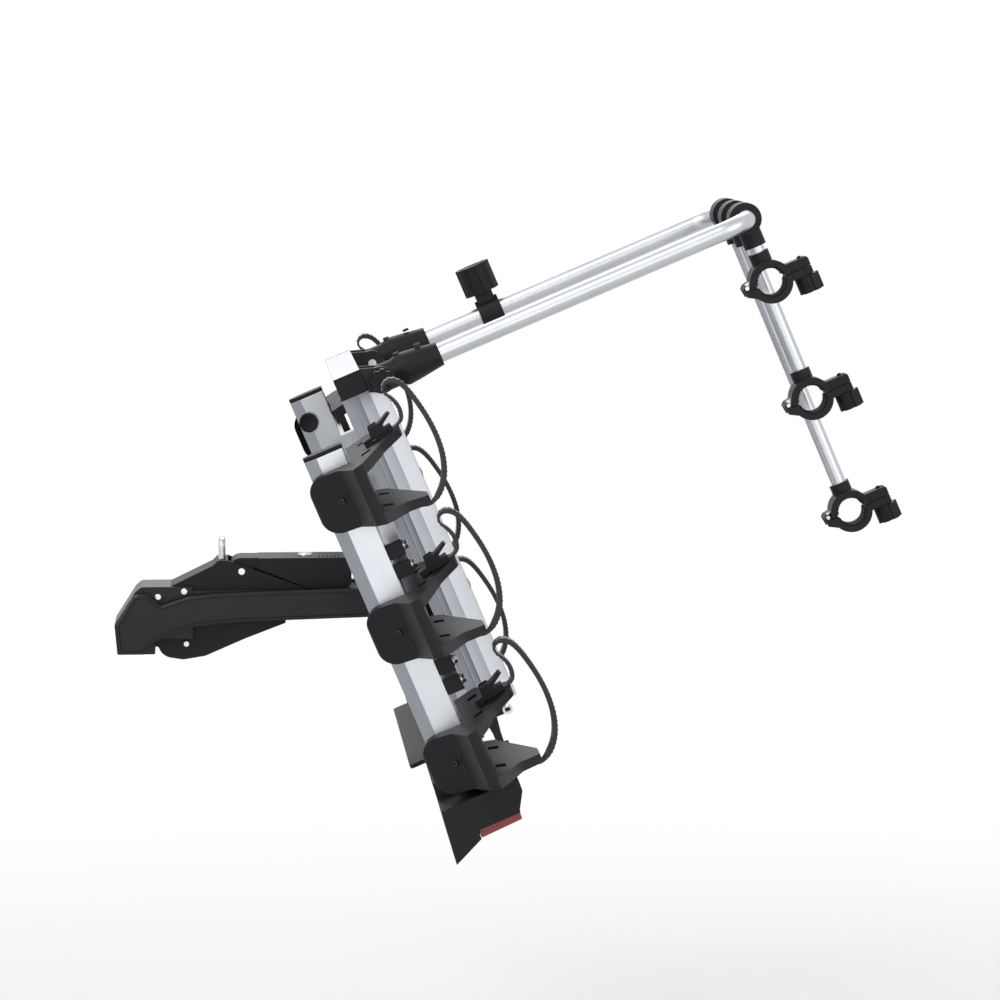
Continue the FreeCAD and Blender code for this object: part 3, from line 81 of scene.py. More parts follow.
def linear(code: str) -> tuple[float, float, float, float]:
    """Turns an sRGB hex colour into linear light.

    Args:
        code: Six hex digits.

    Returns:
        Linear red, green and blue, and full opacity.
    """
    parts = [int(code[i:i + 2], 16) / 255 for i in (0, 2, 4)]
    steps = [c / 12.92 if c <= 0.04045 else ((c + 0.055) / 1.055) ** 2.4 for c in parts]
    return steps[0], steps[1], steps[2], 1.0


def add_node(tree: bpy.types.NodeTree, kind: str, settings: dict | None = None,
             links: dict | None = None) -> bpy.types.Node:
    """Adds a shader node with its settings and links.

    Args:
        tree: Node tree of the material or world.
        kind: The node's type name.
        settings: Attributes, or input sockets by name, and their values.
        links: Input socket name to the output socket that feeds it.

    Returns:
        The new node.
    """
    node = tree.nodes.new(kind)
    for key, number in (settings or {}).items():
        if key in node.inputs:
            node.inputs[key].default_value = number
        else:
            setattr(node, key, number)
    for key, socket in (links or {}).items():
        tree.links.new(socket, node.inputs[key])
    return node


@dataclass(frozen=True)
class Finish:
    """A surface finish with broken-up gloss and a fine relief.

    The grain is two sizes of noise in object space: a broad one that varies the gloss as handling
    does, and a fine one that gives the surface its tooth.
    """

    name: str
    colour: str
    second: str
    metallic: float = 0.0
    roughness: float = 0.5
    spread: float = 0.08
    grain_mm: float = 0.8
    grain_height_mm: float = 0.02
    cloud_mm: float = 60.0
    stretch: tuple[float, float, float] = (1.0, 1.0, 1.0)
    turn: tuple[float, float, float] = (0.0, 0.0, 0.0)
    sockets: tuple[tuple[str, float], ...] = ()

    def build(self) -> bpy.types.Material:
        """Makes the material once and returns it."""
        known = bpy.data.materials.get(self.name)
        if known is not None:
            return known
        material = bpy.data.materials.new(self.name)
        material.use_nodes = True
        tree = material.node_tree
        shader = tree.nodes["Principled BSDF"]
        for key, number in (("Metallic", self.metallic), *self.sockets):
            shader.inputs[key].default_value = number
        spot = add_node(tree, "ShaderNodeTexCoord").outputs["Object"]
        cloud = add_node(tree, "ShaderNodeTexNoise",
                         {"Scale": 1 / (self.cloud_mm * MM), "Detail": 3.0, "Roughness": 0.55},
                         {"Vector": spot})
        tint = add_node(tree, "ShaderNodeMix", {"data_type": "RGBA"},
                        {"Factor": cloud.outputs["Fac"]})
        # sockets 6 and 7 are the colour ones of A and B, and output 2 is theirs
        tint.inputs[6].default_value = linear(self.colour)
        tint.inputs[7].default_value = linear(self.second)
        tree.links.new(tint.outputs[2], shader.inputs["Base Color"])
        self.surface(tree, shader, spot)
        return material

    def surface(self, tree: bpy.types.NodeTree, shader: bpy.types.Node,
                spot: bpy.types.NodeSocket) -> None:
        """Breaks up the gloss and gives the surface its tooth.

        Args:
            tree: The material's node tree.
            shader: Its shader.
            spot: The socket that gives object coordinates.
        """
        drawn = add_node(tree, "ShaderNodeMapping",
                         {"vector_type": "TEXTURE", "Rotation": self.turn, "Scale": self.stretch},
                         {"Vector": spot})
        grain = add_node(tree, "ShaderNodeTexNoise",
                         {"Scale": 1 / (self.grain_mm * MM), "Detail": 2.0, "Roughness": 0.5},
                         {"Vector": drawn.outputs["Vector"]})
        gloss = add_node(tree, "ShaderNodeMapRange",
                         {"To Min": self.roughness - self.spread,
                          "To Max": self.roughness + self.spread},
                         {"Value": grain.outputs["Fac"]})
        tree.links.new(gloss.outputs["Result"], shader.inputs["Roughness"])
        relief = add_node(tree, "ShaderNodeBump",
                          {"Strength": 0.6, "Distance": self.grain_height_mm * MM},
                          {"Height": grain.outputs["Fac"]})
        tree.links.new(relief.outputs["Normal"], shader.inputs["Normal"])


@dataclass(frozen=True)
class Lens(Finish):
    """Clear or tinted acrylic over rows of prisms, which lets light through to what is behind it."""

    prism_mm: float = 4.0

    def surface(self, tree: bpy.types.NodeTree, shader: bpy.types.Node,
                spot: bpy.types.NodeSocket) -> None:
        """Keeps the gloss even and ridges the surface with prisms; see Finish.surface for Args."""
        shader.inputs["Roughness"].default_value = self.roughness
        # the wave texture's bands are 2 pi / 20 apart at a scale of one
        prisms = add_node(tree, "ShaderNodeTexWave",
                          {"bands_direction": "Y", "Scale": math.tau / 20 / (self.prism_mm * MM)},
                          {"Vector": spot})
        ridges = add_node(tree, "ShaderNodeBump", {"Strength": 0.8, "Distance": 0.5 * MM},
                          {"Height": prisms.outputs["Fac"]})
        tree.links.new(ridges.outputs["Normal"], shader.inputs["Normal"])


@dataclass(frozen=True)
class Deck:
    """The tilting deck's own frame: p rearward along it, y across, q square to it, in mm."""

    hinge: Vector
    tilt: float

    @classmethod
    def read(cls) -> "Deck":
        """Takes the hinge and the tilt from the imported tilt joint."""
        joint = next(j for j in frame["joints"] if j["name"] == "tilt")
        return cls(Vector(joint["pos_m"]), -math.radians(joint["range_deg"][0]))

    def matrix(self) -> Matrix:
        """Deck metres to row metres."""
        return Matrix.Translation(self.hinge) @ Matrix.Rotation(self.tilt, 4, "Y")

    def millimetres(self) -> Matrix:
        """Row metres to deck millimetres."""
        return (self.matrix() @ Matrix.Scale(MM, 4)).inverted()

    def frame(self, p: float, y: float, q: float) -> Matrix:
        """Stands a piece modelled in metres at a deck point given in mm."""
        return self.matrix() @ Matrix.Translation(Vector((p, y, q)) * MM)

    def turned(self, p: float, y: float, q: float) -> Vector:
        """A deck direction in the row frame."""
        return Matrix.Rotation(self.tilt, 3, "Y") @ Vector((p, y, q))


DECK = Deck.read()
ALONG_DECK = (0.0, DECK.tilt, 0.0)

# Extruded and satin anodised: pale, with a soft sheen and faint draw lines along the deck.
ANODISED = Finish("anodised_aluminium", "B4B7BC", "C8CACE", metallic=1.0, roughness=0.33, spread=0.06,
                  grain_mm=1.4, grain_height_mm=0.012, cloud_mm=120.0, stretch=(40.0, 1.0, 1.0),
                  turn=ALONG_DECK)
# Painted shade: the same extrusions, darker in colour and rougher, for the slanting facets, slots and undersides
# that face away from the lamps.
SHADED_ALUMINIUM = Finish("shaded_aluminium", "8E9197", "9DA0A6", metallic=1.0, roughness=0.46, spread=0.07,
                grain_mm=1.4, grain_height_mm=0.015, cloud_mm=90.0, stretch=(40.0, 1.0, 1.0),
                turn=ALONG_DECK)
# Drawn tube with the same anodising, its lines along the legs.
ANODISED_TUBE = Finish("anodised_tube", "B6B9BE", "CBCDD1", metallic=1.0, roughness=0.32, spread=0.04,
                       grain_mm=1.2, grain_height_mm=0.003, cloud_mm=90.0, stretch=(1.0, 1.0, 40.0),
                       turn=ALONG_DECK)
# Glass-filled nylon from a spark-eroded mould: near black, even, with a fine matt tooth.
NYLON = Finish("moulded_nylon", "0E0F12", "17181B", roughness=0.48, spread=0.1, grain_mm=0.9,
               grain_height_mm=0.035, cloud_mm=45.0, sockets=(("Specular IOR Level", 0.2),))
# Steel under baked powder: deeper black, with a slight orange peel and a brighter highlight.
POWDER = Finish("powder_coated_steel", "0C0D10", "131418", roughness=0.4, spread=0.06, grain_mm=2.2,
                grain_height_mm=0.03, cloud_mm=80.0,
                sockets=(("Specular IOR Level", 0.2), ("Coat Weight", 0.15), ("Coat Roughness", 0.2)))
# Zinc-plated steel of bolts, pins and the striker: bright, slightly warm, finely scratched.
ZINC = Finish("zinc_plated_steel", "BFC1C3", "D2D2CF", metallic=1.0, roughness=0.24, spread=0.08,
              grain_mm=0.6, grain_height_mm=0.008, cloud_mm=14.0)
# Black-oxide steel of the small screws in the mouldings: dark, with a dull metal glint.
BLACK_OXIDE = Finish("black_oxide_steel", "303134", "3E3F42", metallic=1.0, roughness=0.4, spread=0.06,
                     grain_mm=0.5, grain_height_mm=0.006, cloud_mm=10.0)
# Moulded EPDM rubber: dull, soft black.
RUBBER = Finish("epdm_rubber", "111112", "1A1A1C", roughness=0.78, spread=0.08, grain_mm=1.1,
                grain_height_mm=0.04, cloud_mm=30.0, sockets=(("Specular IOR Level", 0.25),))
# Flexible polyurethane of the straps: black with a waxy sheen.
STRAP = Finish("polyurethane_strap", "101114", "191A1D", roughness=0.4, spread=0.07, grain_mm=1.5,
               grain_height_mm=0.02, cloud_mm=25.0, sockets=(("Specular IOR Level", 0.4),))
# Turned acetal of the bearings: off-white, smooth and slightly waxy.
ACETAL = Finish("turned_acetal", "CFCDC6", "DBD9D2", roughness=0.34, spread=0.05, grain_mm=0.8,
                grain_height_mm=0.006, cloud_mm=20.0)
# Injection-moulded acrylic over prisms.
RED_ACRYLIC = Lens("red_acrylic", "8E0A12", "A80F18", roughness=0.09, cloud_mm=60.0,
                   sockets=(("Transmission Weight", 0.35), ("IOR", 1.49), ("Coat Weight", 0.6)))
CLEAR_ACRYLIC = Lens("clear_acrylic", "E4E6E8", "EEF0F2", roughness=0.07, cloud_mm=60.0,
                     sockets=(("Transmission Weight", 0.75), ("IOR", 1.49), ("Coat Weight", 0.5)))


def deselect() -> None:
    """Leaves object mode with nothing selected."""
    if bpy.context.object is not None and bpy.context.object.mode != "OBJECT":
        bpy.ops.object.mode_set(mode="OBJECT")
    bpy.ops.object.select_all(action="DESELECT")


def select_only(piece: Piece) -> None:
    """Makes one object the selected and active one.

    Args:
        piece: The object to select.
    """
    deselect()
    piece.select_set(True)
    bpy.context.view_layer.objects.active = piece


def edit(piece: Piece, action: str = "SELECT") -> None:
    """Enters edit mode in face mode, with all of a piece selected or none of it.

    Args:
        piece: The mesh object.
        action: SELECT or DESELECT.
    """
    select_only(piece)
    bpy.ops.object.mode_set(mode="EDIT")
    bpy.ops.mesh.select_mode(type="FACE")
    bpy.ops.mesh.select_all(action=action)


def leave_edit() -> None:
    """Goes back to object mode."""
    bpy.ops.object.mode_set(mode="OBJECT")


def pick(piece: Piece, test: Test) -> None:
    """Enters edit mode with only the faces chosen that pass a test.

    Args:
        piece: The mesh object.
        test: Takes a face's centre and normal.
    """
    edit(piece, "DESELECT")
    form = bmesh.from_edit_mesh(piece.data)
    for face in form.faces:
        face.select_set(test(face.calc_center_median(), face.normal))
    form.select_flush_mode()
    bmesh.update_edit_mesh(piece.data)


def faces_along(x: float, y: float, z: float) -> Test:
    """A test for the faces that look along a direction of unit length."""
    return lambda centre, normal: normal.dot(Vector((x, y, z))) > FACING


def apply_modifiers(piece: Piece) -> None:
    """Applies every modifier of a piece.

    Args:
        piece: The mesh object.
    """
    select_only(piece)
    for modifier in list(piece.modifiers):
        bpy.ops.object.modifier_apply(modifier=modifier.name)


def round_edges(piece: Piece, width_mm: float, segments: int = 2, angle: float = ROUND_FROM) -> None:
    """Rounds a piece's sharp edges and smooths it up to them.

    Args:
        piece: The mesh object.
        width_mm: Width of the rounding, or 0 for bar that is cut square.
        segments: Number of steps in the rounding.
        angle: Edges sharper than this many degrees are rounded.
    """
    if width_mm > 0:
        bevel = piece.modifiers.new("rounding", "BEVEL")
        bevel.width = width_mm * MM
        bevel.segments = segments
        bevel.limit_method = "ANGLE"
        bevel.angle_limit = math.radians(angle)
    apply_modifiers(piece)
    bpy.ops.object.shade_smooth_by_angle(angle=math.radians(SHARP_FROM))
    # large faces stay flat up to their rounded edges
    flat = piece.modifiers.new("flat_faces", "WEIGHTED_NORMAL")
    flat.mode = "FACE_AREA"
    flat.weight = 100
    flat.keep_sharp = True
    apply_modifiers(piece)


def place(piece: Piece, matrix: Matrix) -> None:
    """Moves a mesh by a matrix and leaves its object at the origin.

    Args:
        piece: The mesh object.
        matrix: From the mesh's present place to the row frame.
    """
    piece.data.transform(matrix @ piece.matrix_world)
    piece.matrix_world = Matrix.Identity(4)
    piece.data.update()


def block(x: float, y: float, z: float, at: tuple[float, float, float] = (0.0, 0.0, 0.0)) -> Piece:
    """Adds a block to shape further.

    Args:
        x: Its length, in mm as the rest.
        y: Its width.
        z: Its height.
        at: Its middle.

    Returns:
        The block.
    """
    deselect()
    bpy.ops.mesh.primitive_cube_add(size=1.0)
    piece = bpy.context.object
    place(piece, Matrix.Translation(Vector(at) * MM) @ Matrix.Diagonal((x * MM, y * MM, z * MM, 1.0)))
    return piece


def drum(sides: int, radius_mm: float, high_mm: float, low_mm: float = 0.0) -> Piece:
    """Adds an upright prism to shape further.

    Args:
        sides: Number of its sides.
        radius_mm: Radius over its edges.
        high_mm: Its height.
        low_mm: Height of its foot over the origin.

    Returns:
        The prism.
    """
    deselect()
    bpy.ops.mesh.primitive_cylinder_add(vertices=sides, radius=radius_mm * MM, depth=high_mm * MM,
                                        location=(0, 0, (low_mm + high_mm / 2) * MM))
    return bpy.context.object


def cut(piece: Piece, tool: Piece, operation: str = "DIFFERENCE") -> None:
    """Cuts a piece with another one, which goes.

    Args:
        piece: The mesh object.
        tool: What it is cut with.
        operation: DIFFERENCE, or INTERSECT to keep what both hold.
    """
    boolean = piece.modifiers.new("cut", "BOOLEAN")
    boolean.operation = operation
    boolean.solver = "EXACT"
    boolean.object = tool
    apply_modifiers(piece)
    discard(tool)


def ridge(size_mm: tuple[float, float, float], crest: tuple[float, float, float]) -> Piece:
    """Adds a rib whose top is narrower than its foot.

    Args:
        size_mm: Its length, width and height.
        crest: The top's share of the foot along each axis.

    Returns:
        The rib.
    """
    piece = block(*size_mm)
    pick(piece, faces_along(0, 0, 1))
    bpy.ops.transform.resize(value=crest)
    leave_edit()
    return piece


def repeat(piece: Piece, count: int, step_mm: tuple[float, float, float]) -> None:
    """Repeats a piece in a row.

    Args:
        piece: The mesh object.
        count: How many there are in the row.
        step_mm: From one to the next.
    """
    row = piece.modifiers.new("row", "ARRAY")
    row.count = count
    row.use_relative_offset = False
    row.use_constant_offset = True
    row.constant_offset_displace = Vector(step_mm) * MM
    apply_modifiers(piece)


def join(pieces: Sequence[Piece]) -> Piece:
    """Joins meshes into the first of them.

    Args:
        pieces: At least one mesh object.

    Returns:
        The joined object.
    """
    if len(pieces) == 1:
        return pieces[0]
    select_only(pieces[0])
    for piece in pieces[1:]:
        piece.select_set(True)
    bpy.ops.object.join()
    return pieces[0]


def copies(model: Piece, places: Sequence[Matrix]) -> Piece:
    """Copies one modelled piece to several places, each with its own mesh, and joins them.

    Args:
        model: The piece as modelled, at the origin; it stays for further copies.
        places: Where each copy goes.

    Returns:
        One object that holds every copy.
    """
    made = []
    for matrix in places:
        piece = bpy.data.objects.new(model.name, model.data.copy())
        bpy.context.scene.collection.objects.link(piece)
        place(piece, matrix)
        made.append(piece)
    return join(made)


def discard(piece: Piece) -> None:
    """Removes a model once its copies are made."""
    bpy.data.objects.remove(piece)


def finish_normals(piece: Piece, angle: float = SHARP_FROM) -> Piece:
    """Merges doubles, turns every face outward and smooths a closed piece.

    Args:
        piece: The mesh object.
        angle: Edges sharper than this many degrees stay sharp.

    Returns:
        The same object.
    """
    edit(piece)
    bpy.ops.mesh.remove_doubles(threshold=WELD)
    bpy.ops.mesh.normals_make_consistent(inside=False)
    leave_edit()
    bpy.ops.object.shade_smooth_by_angle(angle=math.radians(angle))
    return piece


def sink_faces(piece: Piece, test: Test, rim_mm: float, depth_mm: float) -> None:
    """Leaves a rim round the chosen faces and moves what is inside it along its normal.

    Args:
        piece: The mesh object.
        test: Takes a face's centre and normal.
        rim_mm: Width of the rim that stays.
        depth_mm: Depth, below nought to sink the field and above it to raise it.
    """
    pick(piece, test)
    bpy.ops.mesh.inset(thickness=rim_mm * MM, depth=depth_mm * MM, use_even_offset=True)
    leave_edit()


def end_faces(piece: Piece, axis: Vector) -> Test:
    """A test for the faces that close a piece at its far end along an axis.

    Args:
        piece: The mesh object.
        axis: Direction, of unit length, towards that end.

    Returns:
        The test for a face's centre and normal.
    """
    far = max(v.co.dot(axis) for v in piece.data.vertices)
    return lambda centre, normal: normal.dot(axis) > FACING and centre.dot(axis) > far - LEVEL


def body_of(node: str) -> str:
    """The body that carries a CAD node."""
    bodies = frame["record"]["behaviour"]["bodies"]
    return next(body for body, members in bodies.items() if node in members)


def clean_copy(node: str) -> Piece:
    """A copy of a CAD node with its triangles merged into flat faces.

    Args:
        node: The CAD node.

    Returns:
        The copy, at the same place.
    """
    source = frame["nodes"][node]
    piece = bpy.data.objects.new(f"{node}_form", source.data.copy())
    bpy.context.scene.collection.objects.link(piece)
    piece.data.materials.clear()
    edit(piece)
    bpy.ops.mesh.remove_doubles(threshold=PACKED_WELD)
    bpy.ops.mesh.dissolve_limited(angle_limit=math.radians(FLAT_WITHIN))
    leave_edit()
    return piece


def split_solids(piece: Piece) -> list[Piece]:
    """Splits a copy into its separate solids.

    Args:
        piece: A clean copy of a node that holds several solids.

    Returns:
        The solids, each an object.
    """
    edit(piece)
    bpy.ops.mesh.separate(type="LOOSE")
    leave_edit()
    found = [o for o in bpy.context.selected_objects if o.type == "MESH"]
    return found if piece in found else found + [piece]


def part_off(piece: Piece, test: Test) -> Piece:
    """Parts the chosen faces off into an object of their own.

    Args:
        piece: The mesh object.
        test: Takes a face's centre and normal.

    Returns:
        The new object.
    """
    pick(piece, test)
    bpy.ops.mesh.separate(type="SELECTED")
    leave_edit()
    return next(o for o in bpy.context.selected_objects if o is not piece)


def on_pin(spot: Vector, p: float, q: float, radius: float) -> bool:
    """Whether a face's centre lies on a cross pin's end or round it, and not on a plate beside it."""
    away = math.hypot(spot.x - p, spot.z - q)
    return away < 0.5 or radius - 0.6 < away < radius + 0.2


def deck_box(piece: Piece) -> tuple[Vector, Vector]:
    """The middle and the size of a piece's box on the deck's own axes, in mm.

    Args:
        piece: A mesh in the row frame.

    Returns:
        The middle and the size, each as p, y, q.
    """
    back = DECK.millimetres()
    spots = [back @ v.co for v in piece.data.vertices]
    low = Vector(min(s[i] for s in spots) for i in range(3))
    high = Vector(max(s[i] for s in spots) for i in range(3))
    return (low + high) / 2, high - low


@dataclass(frozen=True)
class Look:
    """Finish, record slot and edge rounding of a piece."""

    kind: str
    finish: Finish
    slot: Slot
    edge_mm: float
    angle: float = ROUND_FROM


CAST = Look("casting", POWDER, Slot.BLACK_STEEL, 2.5)
RAIL = Look("rail", POWDER, Slot.BLACK_STEEL, 0.8)
PLATE = Look("plate", POWDER, Slot.BLACK_STEEL, 0.8)
MOULDING = Look("moulding", NYLON, Slot.BLACK_PLASTIC, 2.0)
SMALL_MOULDING = Look("small_moulding", NYLON, Slot.BLACK_PLASTIC, 1.0)
PIN = Look("pin", ZINC, Slot.BRIGHT_STEEL, 0.5, 50.0)
SCREW = Look("screw", BLACK_OXIDE, Slot.BRIGHT_STEEL, 0.3)
EXTRUSION = Look("extrusion", ANODISED, Slot.ALUMINIUM, 1.0)
THIN_WALL = Look("thin_wall", ANODISED, Slot.ALUMINIUM, 0.45)
FLAT_BAR = Look("flat_bar", ANODISED, Slot.ALUMINIUM, 0.0)
TUBE = Look("tube", ANODISED_TUBE, Slot.ALUMINIUM, 0.5)
LINER = Look("liner", RUBBER, Slot.RUBBER, 0.4)
BAND = Look("band", STRAP, Slot.BLACK_PLASTIC, 0.3)
TROUGH = Look("trough", NYLON, Slot.BLACK_PLASTIC, 4.0)
Choice = Callable[[Vector, Vector, Vector], Look | None]
BEAMS = "inner_beam_left inner_beam_right outer_beam_left outer_beam_right"
# p, q and radius of the cross pins that the mast and the latch turn on
MAST_PIN = (-305.0, 125.0, 6.0)
LATCH_PIN = (212.0, 76.9, 4.0)


def look_up(*rows: tuple[Look, str]) -> dict[str, Look]:
    """Turns rows of a look and its nodes into a look for each node, in the order of the rows."""
    return {node: look for look, names in rows for node in names.split()}


def hand_over(piece: Piece, name: str, body: str, look: Look, *stands_for: str) -> None:
    """Names a finished piece, dresses it and makes it ride.

    Args:
        piece: The mesh object.
        name: Its name.
        body: The body that it moves with.
        look: Its finish and the record's slot for it.
        stands_for: CAD nodes that it replaces; none for a new piece.
    """
    piece.name = name
    piece.data.name = name
    if not piece.data.materials:
        piece.data.materials.append(look.finish.build())
    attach(piece, body)
    if stands_for:
        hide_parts(*stands_for)
    log.info("piece %s rides on %s", name, body)


@dataclass
class Fasteners:
    """Screws, bolts and knobs, each modelled once at the origin with its head up.

    The shares are of a head's radius, and the dome's is of its height.
    """

    sides: int = 28
    washer_high: float = 1.6
    dome_share: float = 0.3
    socket_share: float = 0.52
    hexagon_share: float = 0.82
    chamfer_share: float = 0.12
    hollow_share: float = 0.12
    cap_share: float = 0.25

    def cap_screw(self, radius_mm: float, high_mm: float) -> Piece:
        """A button-head screw with a hexagon socket.

        Args:
            radius_mm: Radius of the head.
            high_mm: Height of the head.

        Returns:
            The head, standing on the origin.
        """
        head = drum(self.sides, radius_mm, high_mm)
        pick(head, faces_along(0, 0, 1))
        bpy.ops.mesh.bevel(offset=self.dome_share * high_mm * MM, segments=3, affect="EDGES")
        leave_edit()
        cut(head, drum(6, self.socket_share * radius_mm, high_mm, high_mm / 2))
        place(head, Matrix.Identity(4))
        return finish_normals(head)

    def hex_bolt(self, radius_mm: float, high_mm: float) -> Piece:
        """A hexagon head with a chamfer on a round washer.

        Args:
            radius_mm: Radius of the washer.
            high_mm: Height of the head over the washer.

        Returns:
            The washer and head, standing on the origin.
        """
        washer = drum(self.sides, radius_mm, self.washer_high)
        head = drum(6, self.hexagon_share * radius_mm, high_mm, self.washer_high)
        pick(head, faces_along(0, 0, 1))
        bpy.ops.mesh.inset(thickness=self.chamfer_share * radius_mm * MM)
        bpy.ops.transform.translate(value=(0, 0, 0.4 * MM))
        leave_edit()
        for piece in (washer, head):
            place(piece, Matrix.Identity(4))
            round_edges(piece, 0.3)
        return join([washer, head])

    def knob(self, radius_mm: float, high_mm: float, lobes: int = 8) -> Piece:
        """A small moulded knob with finger hollows round its rim.

        Args:
            radius_mm: Radius over the lobes.
            high_mm: Height of the knob.
            lobes: Number of lobes.

        Returns:
            The knob, standing on the origin.
        """
        per_lobe, hollow = 6, (0, 1)
        turns = lobes * per_lobe
        knob = drum(turns, radius_mm, high_mm)
        place(knob, Matrix.Identity(4))

        def in_hollow(centre: Vector, normal: Vector) -> bool:
            """Whether a side face belongs to a finger hollow."""
            step = int(math.degrees(math.atan2(centre.y, centre.x)) % 360 / (360 / turns))
            return abs(normal.z) < 0.1 and step % per_lobe in hollow

        pick(knob, in_hollow)
        bpy.ops.mesh.extrude_region_shrink_fatten(
            TRANSFORM_OT_shrink_fatten={"value": -self.hollow_share * radius_mm * MM})
        leave_edit()
        sink_faces(knob, end_faces(knob, Vector((0, 0, 1))), self.cap_share * radius_mm, -0.8)
        round_edges(knob, 0.8)
        return finish_normals(knob)


@dataclass
class Assembly:
    """A sub-assembly: which CAD nodes it dresses, in what finish and with how round an edge."""

    looks: dict[str, Look] = field(default_factory=dict)
    mixed: dict[str, Choice] = field(default_factory=dict)

    def carve(self, node: str, piece: Piece) -> None:
        """Gives a copy its relief before its edges are rounded; a plain one has none."""

    def dress(self, node: str, look: Look) -> None:
        """Makes a piece with relief and rounded edges stand for a CAD node.

        Args:
            node: The CAD node.
            look: How it is dressed.
        """
        piece = clean_copy(node)
        self.carve(node, piece)
        round_edges(piece, look.edge_mm, angle=look.angle)
        hand_over(piece, f"{node}_form", body_of(node), look, node)

    def dress_solids(self, node: str, choose: Choice) -> None:
        """Dresses a node whose solids differ in material.

        Args:
            node: The CAD node.
            choose: Takes a face's centre, and its solid's middle and size, on the deck's axes;
                None where a new piece takes that solid's place.
        """
        groups: dict[Look, list[Piece]] = {}
        back = DECK.millimetres()
        for solid in split_solids(clean_copy(node)):
            middle, size = deck_box(solid)
            chosen = {choose(back @ face.center, middle, size) for face in solid.data.polygons}
            first, *others = sorted(chosen, key=lambda item: item.kind if item else "")
            for look in others:
                part = part_off(
                    solid, lambda centre, normal: choose(back @ centre, middle, size) == look)
                groups.setdefault(look, []).append(part)
            if first is None:
                discard(solid)
            else:
                groups.setdefault(first, []).append(solid)
        for look, members in groups.items():
            piece = join(members)
            self.carve(f"{node}/{look.kind}", piece)
            round_edges(piece, look.edge_mm, angle=look.angle)
            hand_over(piece, f"{node}_{look.kind}", body_of(node), look, node)

    def build(self) -> None:
        """Dresses every listed node."""
        for node, look in self.looks.items():
            self.dress(node, look)
        for node, choose in self.mixed.items():
            self.dress_solids(node, choose)


def scatter(model: Piece, places: Sequence[Matrix], name: str, body: str, look: Look) -> None:
    """Hands over copies of a model as one new piece, and drops the model.

    Args:
        model: The piece as modelled, at the origin.
        places: Where each copy goes.
        name: The new piece's name.
        body: The body that it moves with.
        look: How it is dressed.
    """
    hand_over(copies(model, places), name, body, look)
    discard(model)


@dataclass
class Coupling(Assembly):
    """The head on the tow ball, the arm behind it, the cover, the clamp lever and the striker."""

    looks: dict[str, Look] = field(default_factory=lambda: look_up(
        (CAST, "coupling_head"),
        (RAIL, "arm_rail_left arm_rail_right"),
        (PLATE, "arm_core"),
        (MOULDING, "lower_guard top_cover"),
        (PLATE, "clamp_jaw"),
        (MOULDING, "clamp_lever"),
        (PIN, "lock_barrel striker_loop tilt_axle"),
    ))
    mixed: dict[str, Choice] = field(default_factory=lambda: {
        # the short screws on the head give way to socket screws
        "coupling_pins": lambda spot, middle, size: PIN if size.y > 20 else None,
    })
    rail_round: float = 3.0
    rail_slope: float = 2.2
    rail_rim: float = 1.4
    rail_wall: float = 0.8
    rail_sink: float = 1.6
    head_face_y: float = 45.0
    screw_spots: tuple[tuple[float, float], ...] = ((30.0, 53.0), (67.5, 60.5))
    screw_radius: float = 5.2
    screw_high: float = 5.6
    lever_top: float = 107.0
    rib_start: float = 262.0
    rib_step: float = 5.6
    rib_count: int = 6
    rib_wide: float = 56.0

    def carve(self, node: str, piece: Piece) -> None:
        """Sinks the field of each cast arm rail's side within a sloping rim, and of both sides of the lower guard.
        """
        if node.startswith("arm_rail"):
            sign = -1 if node.endswith("left") else 1
            side = end_faces(piece, Vector((0, sign, 0)))
            pick(piece, side)
            bpy.ops.transform.translate(value=(0, -sign * self.rail_slope * MM, 0))
            for rim, rise in ((self.rail_round, self.rail_slope), (self.rail_rim, 0.0),
                              (self.rail_wall, -self.rail_sink)):
                bpy.ops.mesh.inset(thickness=rim * MM, depth=rise * MM, use_even_offset=True)
            leave_edit()
        if node == "lower_guard":
            for sign in (-1, 1):
                side = end_faces(piece, Vector((0, sign, 0)))
                sink_faces(piece, side, rim_mm=4.0, depth_mm=-1.5)

    def screws(self) -> None:
        """The socket screws on both sides of the head."""
        model = Fasteners().cap_screw(self.screw_radius, self.screw_high)
        places = []
        for x, z in self.screw_spots:
            for sign in (-1, 1):
                turn = Matrix.Rotation(-sign * math.pi / 2, 4, "X")
                places.append(Matrix.Translation(Vector((x, sign * self.head_face_y, z)) * MM) @ turn)
        scatter(model, places, "head_screws", "coupling", PIN)

    def grip_ribs(self) -> None:
        """Raised ribs across the rear of the clamp lever, for the thumb."""
        rib = ridge(size_mm=(2.4, self.rib_wide, 1.8), crest=(0.45, 0.97, 1.0))
        repeat(rib, self.rib_count, (self.rib_step, 0, 0))
        place(rib, Matrix.Translation(Vector((self.rib_start, 0, self.lever_top + 0.6)) * MM))
        round_edges(rib, 0.3)
        hand_over(rib, "lever_grip_ribs", "lever", SMALL_MOULDING)

    def build(self) -> None:
        """Dresses the nodes and adds the screws and ribs."""
        super().build()
        self.screws()
        self.grip_ribs()


